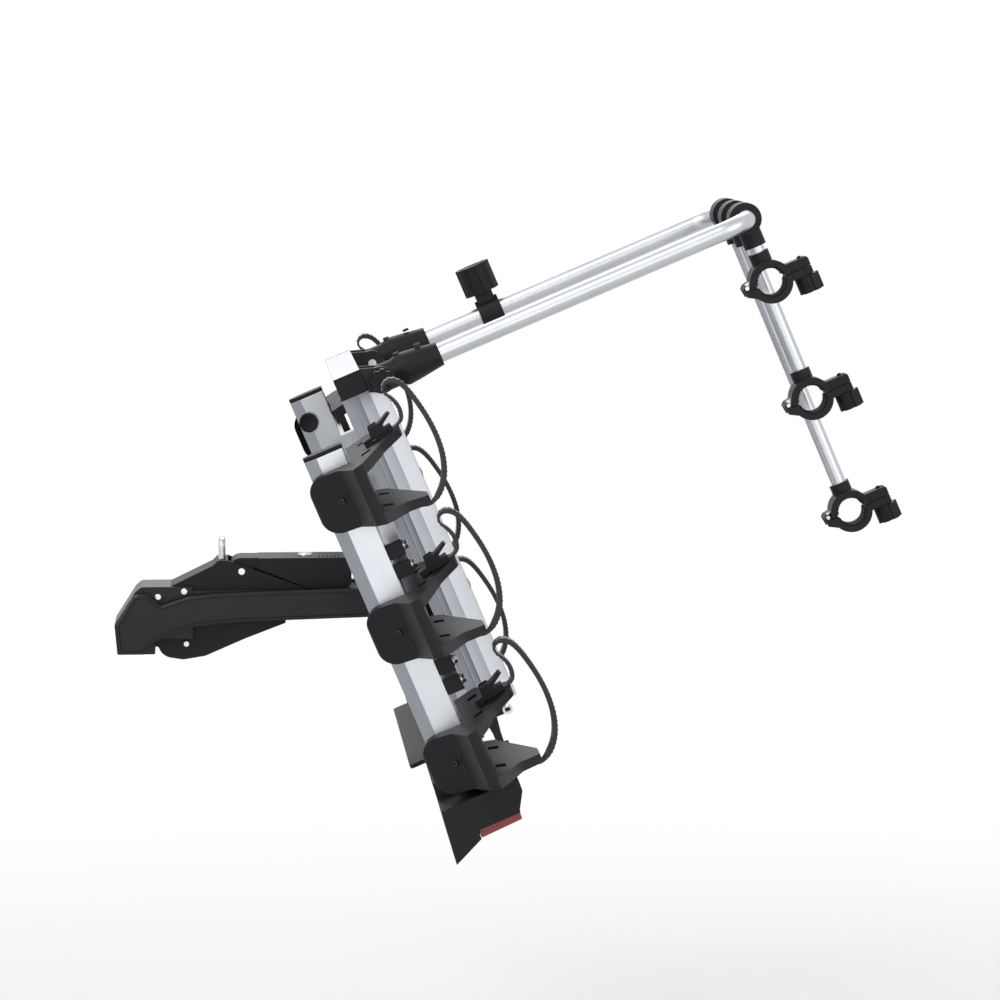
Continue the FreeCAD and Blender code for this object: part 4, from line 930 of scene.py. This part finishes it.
@dataclass
class Platform(Assembly):
    """The tilting deck: beams, tubes, rails, brackets, lamps and the plate holder."""

    looks: dict[str, Look] = field(default_factory=lambda: look_up(
        (Look("bracket", POWDER, Slot.BLACK_STEEL, 1.5), "pivot_brackets"),
        (Look("bush", ACETAL, Slot.BEARING, 0.4), "pivot_bushes"),
        (EXTRUSION, BEAMS),
        (SMALL_MOULDING, "end_caps"),
        (THIN_WALL, "cross_tubes"),
        (FLAT_BAR, "holder_rails"),
        (EXTRUSION, "crossmembers"),
        (PIN, "latch_claw release_rod"),
        (PLATE, "pedal_lever"),
        (LINER, "pedal_pad"),
        (EXTRUSION, "rear_rail"),
        (MOULDING, "lamp_housings"),
        (Look("red_lens", RED_ACRYLIC, Slot.RED_LENS, 1.2), "lenses_red"),
        (Look("clear_lens", CLEAR_ACRYLIC, Slot.CLEAR_LENS, 1.2), "lenses_clear"),
        (SMALL_MOULDING, "plate_holder"),
    ))
    mixed: dict[str, Choice] = field(default_factory=lambda: {
        "mast_ears": lambda spot, middle, size: PIN if on_pin(spot, *MAST_PIN) else PLATE,
        "latch_brackets": lambda spot, middle, size: PIN if on_pin(spot, *LATCH_PIN) else PLATE,
    })
    tube_spots: tuple[float, ...] = (-117.0, -89.0, 51.0, 79.0)
    tube_top: float = 62.0
    beam_y: float = 500.0
    beam_half: float = 16.0
    knob_p: float = -233.0
    knob_q: float = 0.0
    rail_p: float = 188.0
    rail_q: float = 19.0
    rail_end_y: float = 516.0
    plate_back: float = 206.0
    plate_edges: tuple[float, float] = (-47.5, 55.5)
    clip_spots: tuple[float, ...] = (-200.0, -70.0, 70.0, 200.0)
    cap_area: float = 300.0
    facet_top: float = 103.0
    slot_in: float = 126.0
    plug_size: tuple[float, float, float] = (23.6, 3.0, 37.6)
    plug_wall: float = 3.2
    plug_deep: float = 8.0
    clip_size: tuple[float, float, float] = (5.0, 26.0, 9.0)
    # a slanting face's normal has an upward part between these, and one below is an underside; both get painted
    # shade
    slant: tuple[float, float] = (0.2, 0.95)

    def carve(self, node: str, piece: Piece) -> None:
        """Sinks the fields of the plugs and caps, so that each keeps a rim."""
        if node == "end_caps":
            along = DECK.turned(1, 0, 0)
            for axis, rim in ((Vector((0, 1, 0)), 2.6), (along, 4.0)):
                for sign in (-1, 1):
                    for face in self.outer_faces(piece, axis * sign):
                        sink_faces(piece, face, rim, depth_mm=-1.0)
        if node == "pedal_pad":
            tread = end_faces(piece, DECK.turned(0, 0, 1))
            sink_faces(piece, tread, rim_mm=2.5, depth_mm=0.8)

    def outer_faces(self, piece: Piece, axis: Vector) -> list[Test]:
        """Tests for the faces at each level that look along an axis, outermost of their solids."""
        levels = sorted({round(f.center.dot(axis), 4) for f in piece.data.polygons
                         if f.normal.dot(axis) > FACING and f.area > self.cap_area * MM * MM})
        return [lambda centre, normal, at=level: normal.dot(axis) > FACING
                and abs(centre.dot(axis) - at) < LEVEL for level in levels if level > 0.1]

    def bolts(self) -> None:
        """Hexagon bolts that hold the cross tubes down on the outer beams."""
        model = Fasteners().hex_bolt(radius_mm=8.0, high_mm=5.0)
        places = [DECK.frame(p, sign * self.beam_y, self.tube_top) for p in self.tube_spots
                  for sign in (-1, 1)]
        scatter(model, places, "tube_bolts", "platform", PIN)

    def beam_knobs(self) -> None:
        """A small knob on the inner face of each outer beam, near its front end."""
        model = Fasteners().knob(radius_mm=15.0, high_mm=16.0)
        places = []
        for sign in (-1, 1):
            turn = Matrix.Rotation(sign * math.pi / 2, 4, "X")
            inner = sign * (self.beam_y - self.beam_half)
            places.append(DECK.frame(self.knob_p, inner, self.knob_q) @ turn)
        scatter(model, places, "beam_knobs", "platform", SMALL_MOULDING)

    def rail_plugs(self) -> None:
        """Push-in plugs that close the rear rail's ends."""
        plug = block(*self.plug_size)
        sink_faces(plug, faces_along(0, 1, 0), rim_mm=3.0, depth_mm=-0.8)
        pick(plug, faces_along(0, -1, 0))
        bpy.ops.mesh.inset(thickness=self.plug_wall * MM)
        bpy.ops.mesh.extrude_region_move(
            TRANSFORM_OT_translate={"value": (0, -self.plug_deep * MM, 0)})
        leave_edit()
        round_edges(plug, 0.6)
        places = []
        for sign in (-1, 1):
            flip = Matrix.Rotation(0 if sign > 0 else math.pi, 4, "Z")
            end = sign * (self.rail_end_y + self.plug_size[1] / 2)
            places.append(DECK.frame(self.rail_p, end, self.rail_q) @ flip)
        scatter(plug, places, "rear_rail_plugs", "platform", SMALL_MOULDING)

    def plate_clips(self) -> None:
        """Snap clips along the plate holder's two long edges."""
        clip = block(*self.clip_size)
        pick(clip, faces_along(1, 0, 0))
        bpy.ops.mesh.inset(thickness=1.4 * MM, depth=1.2 * MM)
        leave_edit()
        round_edges(clip, 0.7)
        places = [DECK.frame(self.plate_back + 0.4, y, q)
                  for y in self.clip_spots for q in self.plate_edges]
        scatter(clip, places, "plate_clips", "platform", SMALL_MOULDING)

    def shade_facets(self) -> None:
        """Paints shade on the beams' slanting facets, slots and undersides with the darker shaded finish."""
        back = DECK.millimetres().to_3x3()
        low, high = self.slant
        for node in BEAMS.split():
            piece = bpy.data.objects[f"{node}_form"]
            piece.data.materials.append(SHADED_ALUMINIUM.build())
            for face in piece.data.polygons:
                normal = (back @ face.normal).normalized()
                slanting = low < abs(normal.z) < high and abs(normal.x) < 0.1
                # faces that slant or look down, and those in the slot, take the darker second material as painted
                # shade
                if slanting or normal.z < -high or self.in_slot(node, face.center):
                    face.material_index = 1

    def in_slot(self, node: str, spot: Vector) -> bool:
        """Whether a face of an inner beam lies in its slot or under its slanting facet.

        Args:
            node: The beam.
            spot: The face's centre.

        Returns:
            True below the facet's top edge, on the beam's outer side.
        """
        at = DECK.millimetres() @ spot
        return node.startswith("inner") and at.z < self.facet_top and abs(at.y) > self.slot_in

    def build(self) -> None:
        """Dresses the nodes and adds bolts, knobs, plugs and clips."""
        super().build()
        self.shade_facets()
        self.bolts()
        self.beam_knobs()
        self.rail_plugs()
        self.plate_clips()


@dataclass
class WheelHolders(Assembly):
    """Six moulded troughs, each with its strap, its ratchet buckle, screws and floor ribs."""

    spots: tuple[float, ...] = (-208.0, -18.0, 172.0)
    strap_y: float = 470.0
    strap_wide: float = 25.0
    strap_thick: float = 6.6
    strap_step: float = 3.0
    line_parts: int = 16
    leg_share: float = 0.42
    grow_between: tuple[float, float] = (120.0, 134.0)
    bare_steps: int = 14
    tooth_high: float = 0.6
    foot_half: float = 40.0
    skirt_low: float = -25.0
    skirt_round: float = 24.0
    floor_q: float = 50.3
    skirt_spot: tuple[float, float] = (552.0, 12.0)
    skirt_lean: float = 31.3
    floor_screws: tuple[float, float] = (374.0, 572.0)
    rib_count: int = 9
    rib_from: float = 393.0
    rib_step: float = 20.0
    rib_rise: float = 1.2

    # the strap's line from the front wall, round its loop and over to the rear wall: p and q
    strap_line: tuple[tuple[float, float], ...] = (
        (-50.3, 84.0), (-53.7, 101.0), (-57.5, 118.5), (-64.0, 127.0), (-78.0, 129.5), (-92.0, 125.5),
        (-104.0, 119.0), (-113.0, 121.5), (-116.0, 131.0), (-110.0, 141.0), (-96.0, 148.5),
        (-74.0, 154.5), (-48.0, 159.0), (-22.0, 160.5), (4.0, 158.0), (28.0, 150.0), (46.0, 137.0),
        (57.3, 119.5), (54.0, 102.0), (50.5, 86.0))

    def __post_init__(self) -> None:
        """Lists the nodes of the six places."""
        for side in ("left", "right"):
            for number in (1, 2, 3):
                self.looks[f"buckle_lever_{side}_{number}"] = SMALL_MOULDING
                self.mixed[f"wheel_holder_{side}_{number}"] = self.choose

    @staticmethod
    def choose(spot: Vector, middle: Vector, size: Vector) -> Look | None:
        """The trough and the buckle's base keep their solids; the strap is modelled anew."""
        if size.y > 100:
            return TROUGH
        return None if size.x > 60 else SMALL_MOULDING

    def corner(self) -> Piece:
        """What rounding takes off one lower corner of a skirt, on the deck's axes in metres.

        Returns:
            The waste in front of a rounded corner at the origin, across the whole skirt.
        """
        radius, wide, spare = self.skirt_round, 150.0, 2.0
        middle = (radius - spare) / 2
        waste = block(radius + spare, wide, radius + spare, (middle, 0, middle))
        roller = drum(96, radius, 2 * wide)
        roller.location = Vector((radius, 0, radius)) * MM
        roller.rotation_euler = (math.pi / 2, 0, 0)
        cut(waste, roller)
        middle = radius / 2 - spare
        cut(waste, block(radius, 2 * wide, radius, (middle, 0, middle)), "INTERSECT")
        return waste

    def carve(self, node: str, piece: Piece) -> None:
        """Rounds the two lower corners of a holder's skirt."""
        if not node.endswith("/trough"):
            return
        sign = -1 if "_left_" in node else 1
        spot = self.spots[int(node.split("/")[0][-1]) - 1]
        model = self.corner()
        flip = Matrix.Rotation(math.pi, 4, "Z")
        across = sign * self.skirt_spot[0]
        cut(piece, copies(model, [DECK.frame(spot - self.foot_half, across, self.skirt_low),
                                  DECK.frame(spot + self.foot_half, across, self.skirt_low) @ flip]))
        discard(model)

    def smooth_line(self, step_mm: float) -> list[Vector]:
        """Even steps along the strap's line, in metres on the deck's p and q axes.

        Args:
            step_mm: Length of a step.

        Returns:
            The points, from the front wall to the rear one.
        """
        spots = [Vector((p, 0.0, q)) for p, q in self.strap_line]
        ends = [spots[0] * 2 - spots[1]] + spots + [spots[-1] * 2 - spots[-2]]
        dense = []
        for a, b, c, d in zip(ends, ends[1:], ends[2:], ends[3:]):
            for t in (k / self.line_parts for k in range(self.line_parts)):
                dense.append(0.5 * (2 * b + (c - a) * t + (2 * a - 5 * b + 4 * c - d) * t * t
                                    + (3 * b - a - 3 * c + d) * t ** 3))
        dense.append(spots[-1])
        line, left = [dense[0]], step_mm
        for a, b in zip(dense, dense[1:]):
            run = (b - a).length
            while left <= run:
                line.append(a + (b - a) * (left / run))
                left += step_mm
            left -= run
        return [spot * MM for spot in line]

    def strap(self) -> Piece:
        """One toothed strap, modelled round the middle of its trough.

        Returns:
            The strap on the deck's axes, in metres.
        """
        line = self.smooth_line(self.strap_step)
        deselect()
        bpy.ops.mesh.primitive_plane_add(size=1.0)
        band = bpy.context.object
        half = self.strap_wide / 2 * MM
        edit(band)
        form = bmesh.from_edit_mesh(band.data)
        form.verts.ensure_lookup_table()
        bmesh.ops.delete(form, geom=form.verts[2:], context="VERTS")
        form.verts.ensure_lookup_table()
        for vert, side in zip(form.verts, (-half, half)):
            vert.co = line[0] + Vector((0, side, 0))
        bmesh.update_edit_mesh(band.data)
        bpy.ops.mesh.select_mode(type="EDGE")
        bpy.ops.mesh.select_all(action="SELECT")
        for a, b in zip(line, line[1:]):
            bpy.ops.mesh.extrude_region_move(TRANSFORM_OT_translate={"value": tuple(b - a)})
        leave_edit()
        legs = band.vertex_groups.new(name="thickness")
        for vert in band.data.vertices:
            legs.add([vert.index], self.thickness_share(vert.co.z), "REPLACE")
        thick = band.modifiers.new("thickness", "SOLIDIFY")
        thick.thickness = self.strap_thick * MM
        thick.vertex_group = legs.name
        thick.offset = 0.0
        apply_modifiers(band)
        finish_normals(band)
        self.teeth(band, line)
        round_edges(band, 0.35, segments=1, angle=40.0)
        return band

    def thickness_share(self, height: float) -> float:
        """Thin beside the walls, growing to the full thickness above them.

        Args:
            height: Height over the deck, in metres.

        Returns:
            The share of the strap's thickness.
        """
        low, high = self.grow_between
        grown = min(max((height / MM - low) / (high - low), 0), 1)
        return self.leg_share + (1 - self.leg_share) * grown

    def teeth(self, band: Piece, line: list[Vector]) -> None:
        """Raises every second step of the loop's outer face, short of both edges.

        Args:
            band: The plain strap.
            line: Its middle line.
        """
        steps = list(zip(line, line[1:]))
        first, last = self.bare_steps, len(steps) - self.bare_steps

        def outward(centre: Vector, normal: Vector) -> bool:
            """Whether a face lies on the outer side of every second step."""
            if abs(normal.y) > 0.5:
                return False
            near = min(range(len(steps)),
                       key=lambda k: ((steps[k][0] + steps[k][1]) / 2 - centre).xz.length)
            along = (steps[near][1] - steps[near][0]).normalized()
            out = Vector((-along.z, 0, along.x))
            return first < near < last and near % 2 == 0 and normal.dot(out) > 0.7

        pick(band, outward)
        bpy.ops.mesh.inset(thickness=0.45 * MM, use_individual=True)
        bpy.ops.mesh.extrude_faces_move(TRANSFORM_OT_shrink_fatten={"value": self.tooth_high * MM})
        leave_edit()

    def ribs(self) -> Piece:
        """Low ribs across a trough's floor, that keep the tyre from sliding."""
        rib = ridge(size_mm=(50.0, 3.0, 3.6), crest=(0.96, 0.5, 1.0))
        repeat(rib, self.rib_count, (0, self.rib_step, 0))
        round_edges(rib, 0.5)
        return rib

    def screws(self, model: Piece, spot: float, sign: int) -> Piece:
        """The screws of one holder: one in its skirt and two through its floor."""
        y, q = self.skirt_spot
        lean = Matrix.Rotation(-sign * math.radians(90 + self.skirt_lean), 4, "X")
        places = [DECK.frame(spot, sign * y, q) @ lean]
        places += [DECK.frame(spot, sign * y, self.floor_q) for y in self.floor_screws]
        return copies(model, places)

    def build(self) -> None:
        """Dresses the six places and adds what each of them carries."""
        super().build()
        strap, ribs = self.strap(), self.ribs()
        screw = Fasteners().cap_screw(radius_mm=4.5, high_mm=2.6)
        row_long = (self.rib_count - 1) * self.rib_step
        for side, sign in (("left", -1), ("right", 1)):
            # the row runs towards +y, so on the left it starts at its outer end
            start = self.rib_from if sign > 0 else -self.rib_from - row_long
            for number, spot in enumerate(self.spots, 1):
                node = f"wheel_holder_{side}_{number}"
                body = body_of(node)
                band = copies(strap, [DECK.frame(spot, sign * self.strap_y, 0)])
                hand_over(band, f"wheel_strap_{side}_{number}", body, BAND, node)
                row = copies(ribs, [DECK.frame(spot, start, self.floor_q + self.rib_rise)])
                hand_over(row, f"trough_ribs_{side}_{number}", body, SMALL_MOULDING)
                heads = self.screws(screw, spot, sign)
                hand_over(heads, f"holder_screws_{side}_{number}", body, SCREW)
        for model in (strap, ribs, screw):
            discard(model)


@dataclass
class Mast(Assembly):
    """The folding mast, its clamp and knobs, and the three bike arms with their jaws."""

    looks: dict[str, Look] = field(default_factory=lambda: look_up(
        (TUBE, "mast_tube"),
        (MOULDING, "mast_sleeves leg_clamp leg_clamp_knob mast_knob_left mast_knob_right"),
        (SMALL_MOULDING, "jaw_swing_1 jaw_swing_2 jaw_swing_3 arm_knob_1 arm_knob_2 arm_knob_3"),
    ))
    arm_spots: tuple[tuple[float, float], ...] = ((-208.0, -100.0), (-18.0, 0.0), (172.0, 100.0))
    mast_p: float = -305.0
    mast_y: float = 170.0
    bar_q: float = 690.0
    bore_radius: float = 22.0
    liner_thick: float = 1.6
    liner_wide: float = 36.0
    sleeve_screws: tuple[float, ...] = (158.0, 190.0)
    sleeve_radius: float = 22.6
    arm_radius: float = 11.0
    pin_shift: tuple[float, float] = (-5.0, -36.0)
    pin_radius: float = 3.2
    # the bare tube of an arm runs from here behind the mast to here ahead of the jaw
    collar_end: float = 20.5
    jaw_start: float = 30.5

    def __post_init__(self) -> None:
        """Lists the arms, whose solids differ in material."""
        for number, (spot, y) in enumerate(self.arm_spots, 1):
            self.mixed[f"bike_arm_{number}"] = self.chooser(spot, y)

    def chooser(self, reach: float, across: float) -> Choice:
        """How the faces of the arm that reaches a wheel place are dressed.

        Args:
            reach: The wheel place's p.
            across: The arm's y.

        Returns:
            Takes a face's centre, and its solid's middle and size, on the deck's axes.
        """
        def choose(spot: Vector, middle: Vector, size: Vector) -> Look:
            """The hinge pin, the tube between its sockets, and else collar or jaw."""
            p, q = self.pin_shift
            if math.hypot(spot.x - reach - p, spot.z - self.bar_q - q) < self.pin_radius:
                return PIN
            off_axis = math.hypot(spot.y - across, spot.z - self.bar_q)
            bare = self.mast_p + self.collar_end < spot.x < reach - self.jaw_start
            if off_axis < self.arm_radius + 0.3 and bare:
                return TUBE
            return MOULDING
        return choose

    def carve(self, node: str, piece: Piece) -> None:
        """Sinks the caps of the knobs, which look outward, forward and rearward."""
        along = DECK.turned(1, 0, 0)
        outward = Vector((0, -1 if node.endswith("left") else 1, 0))
        for kind, axis, rim, depth in (("mast_knob", outward, 3.0, -1.4),
                                       ("leg_clamp_knob", -along, 4.0, -2.0),
                                       ("arm_knob", along, 3.0, -1.2)):
            if node.startswith(kind):
                sink_faces(piece, end_faces(piece, axis), rim, depth)

    def liner(self) -> Piece:
        """A ribbed half ring of rubber, for the half of a jaw that lies towards −p."""
        sides = 72
        deselect()
        bpy.ops.mesh.primitive_cylinder_add(vertices=sides, radius=(self.bore_radius - 0.2) * MM,
                                            depth=self.liner_wide * MM, end_fill_type="NOTHING",
                                            rotation=(math.pi / 2, 0, 0))
        ring = bpy.context.object
        place(ring, Matrix.Identity(4))
        edit(ring)
        bpy.ops.mesh.bisect(plane_co=(-3 * MM, 0, 0), plane_no=(1, 0, 0), clear_outer=True)
        bpy.ops.mesh.select_all(action="SELECT")
        bpy.ops.mesh.normals_make_consistent(inside=False)
        leave_edit()
        shell = ring.modifiers.new("wall", "SOLIDIFY")
        shell.thickness = self.liner_thick * MM
        shell.offset = -1.0
        apply_modifiers(ring)
        finish_normals(ring)

        def inner_stripe(centre: Vector, normal: Vector) -> bool:
            """Whether a face lies on every second stripe of the bore."""
            radial = Vector((centre.x, 0, centre.z))
            step = int(math.degrees(math.atan2(centre.z, centre.x)) % 360 / (360 / sides))
            return normal.dot(radial) < -0.9 * radial.length and step % 2 == 0

        pick(ring, inner_stripe)
        bpy.ops.mesh.extrude_region_shrink_fatten(TRANSFORM_OT_shrink_fatten={"value": 0.9 * MM})
        leave_edit()
        return finish_normals(ring, angle=30.0)

    def liners(self) -> None:
        """Rubber in both halves of each jaw."""
        model = self.liner()
        flip = Matrix.Rotation(math.pi, 4, "Y")
        for number, (spot, y) in enumerate(self.arm_spots, 1):
            here = DECK.frame(spot, y, self.bar_q)
            for name, body, turn in (("fixed", f"arm_{number}", Matrix.Identity(4)),
                                     ("swing", f"swing_jaw_{number}", flip)):
                ring = copies(model, [here @ turn])
                hand_over(ring, f"jaw_liner_{name}_{number}", body, LINER)
        discard(model)

    def screws(self) -> None:
        """Socket screws that clamp the legs in the sleeves."""
        model = Fasteners().cap_screw(radius_mm=4.6, high_mm=3.4)
        turn = Matrix.Rotation(-math.pi / 2, 4, "Y")
        places = [DECK.frame(self.mast_p - self.sleeve_radius, sign * self.mast_y, q) @ turn
                  for sign in (-1, 1) for q in self.sleeve_screws]
        scatter(model, places, "sleeve_screws", "mast", SCREW)

    def build(self) -> None:
        """Dresses the nodes and adds liners and screws."""
        super().build()
        self.liners()
        self.screws()


@dataclass
class Studio:
    """Pale floor, soft light and the camera at the photograph's angle."""

    eye: tuple[float, float, float] = (0.113, -6.0, 0.80)
    aim: tuple[float, float, float] = (0.525, 0.0, 0.185)
    lens_mm: float = 150.0
    floor_z: float = -0.72
    floor_side: float = 80.0
    floor_middle: tuple[float, float] = (0.5, 0.0)
    fade_from: float = 1.0
    fade_to: float = 2.6
    paper: str = "F4F4F3"
    ambient: float = 0.55
    lit: tuple[float, float, float] = (0.5, 0.0, 0.1)
    # each lamp's place and side in metres, and its watts
    lamps: dict[str, tuple[tuple[float, float, float], float, float]] = field(default_factory=lambda: {
        "key": ((-2.2, -3.2, 3.6), 4.2, 125.0),
        "fill": ((3.4, -3.0, 1.6), 3.4, 45.0),
        "front": ((0.5, -5.0, 0.6), 2.4, 22.0),
        "back": ((0.5, 3.4, 3.2), 3.6, 75.0),
    })

    @staticmethod
    def aimed(data: bpy.types.ID, at: Sequence[float], towards: Sequence[float]) -> Piece:
        """Stands a camera or a lamp in the scene and turns it.

        Args:
            data: The camera's or the lamp's data.
            at: Its place.
            towards: The point that it looks at.

        Returns:
            Its object.
        """
        stand = bpy.data.objects.new(data.name, data)
        bpy.context.scene.collection.objects.link(stand)
        stand.location = at
        stand.rotation_euler = (Vector(towards) - Vector(at)).to_track_quat("-Z", "Y").to_euler()
        return stand

    def camera(self) -> None:
        """Adds the camera and makes it the scene's."""
        data = bpy.data.cameras.new("studio_camera")
        data.lens = self.lens_mm
        data.sensor_width = 36.0
        data.clip_end = 100.0
        bpy.context.scene.camera = self.aimed(data, self.eye, self.aim)

    def floor(self) -> None:
        """Adds the floor: paper under the carrier that runs out into plain white far from it."""
        deselect()
        x, y = self.floor_middle
        bpy.ops.mesh.primitive_plane_add(size=self.floor_side, location=(x, y, self.floor_z))
        plane = bpy.context.object
        plane.name = "studio_floor"
        material = bpy.data.materials.new("pale_paper")
        material.use_nodes = True
        tree = material.node_tree
        shader = tree.nodes["Principled BSDF"]
        for key, value in (("Base Color", linear(self.paper)), ("Roughness", 0.9),
                           ("Specular IOR Level", 0.2)):
            shader.inputs[key].default_value = value
        spot = add_node(tree, "ShaderNodeTexCoord")
        away = add_node(tree, "ShaderNodeVectorMath", {"operation": "LENGTH"},
                        {"Vector": spot.outputs["Object"]})
        fade = add_node(tree, "ShaderNodeMapRange",
                        {"interpolation_type": "SMOOTHSTEP", "From Min": self.fade_from,
                         "From Max": self.fade_to}, {"Value": away.outputs["Value"]})
        share = add_node(tree, "ShaderNodeMath", {"operation": "MULTIPLY"})
        tree.links.new(fade.outputs["Result"], share.inputs[0])
        tree.links.new(self.seen(tree), share.inputs[1])
        white = add_node(tree, "ShaderNodeEmission", {"Color": linear("FFFFFF"), "Strength": 1.0})
        mix = add_node(tree, "ShaderNodeMixShader", links={"Fac": share.outputs[0]})
        tree.links.new(shader.outputs["BSDF"], mix.inputs[1])
        tree.links.new(white.outputs["Emission"], mix.inputs[2])
        tree.links.new(mix.outputs["Shader"], tree.nodes["Material Output"].inputs["Surface"])
        plane.data.materials.append(material)

    def seen(self, tree: bpy.types.NodeTree) -> bpy.types.NodeSocket:
        """One where the eye, a reflection or a view through glass meets the surface.

        Args:
            tree: The node tree to add to.

        Returns:
            The socket that gives the mask.
        """
        path = add_node(tree, "ShaderNodeLightPath")
        mask = path.outputs["Is Camera Ray"]
        for name in ("Is Glossy Ray", "Is Transmission Ray"):
            both = add_node(tree, "ShaderNodeMath", {"operation": "MAXIMUM"})
            tree.links.new(mask, both.inputs[0])
            tree.links.new(path.outputs[name], both.inputs[1])
            mask = both.outputs[0]
        return mask

    def light(self) -> None:
        """Adds the soft lamps and a world that shows white to the eye and in reflections."""
        for name, (at, side, watts) in self.lamps.items():
            data = bpy.data.lights.new(f"studio_{name}", "AREA")
            data.size = side
            data.energy = watts
            self.aimed(data, at, self.lit)
        world = bpy.data.worlds.new("studio_world")
        bpy.context.scene.world = world
        world.use_nodes = True
        tree = world.node_tree
        tree.nodes.clear()
        glow = add_node(tree, "ShaderNodeMapRange", {"To Min": self.ambient, "To Max": 1.0},
                        {"Value": self.seen(tree)})
        back = add_node(tree, "ShaderNodeBackground", {"Color": linear("FFFFFF")},
                        {"Strength": glow.outputs["Result"]})
        add_node(tree, "ShaderNodeOutputWorld", links={"Surface": back.outputs["Background"]})

    def build(self) -> None:
        """Adds the floor, the lights and the camera."""
        self.floor()
        self.light()
        self.camera()
        bpy.context.scene.view_settings.view_transform = "Standard"


def main() -> None:
    """Builds the carrier's looks in order, and reports each piece."""
    logging.basicConfig(level=logging.INFO, format="%(name)s: %(message)s")
    for assembly in (Coupling(), Platform(), WheelHolders(), Mast()):
        assembly.build()
    Studio().build()


if __name__ == "__main__":
    main()
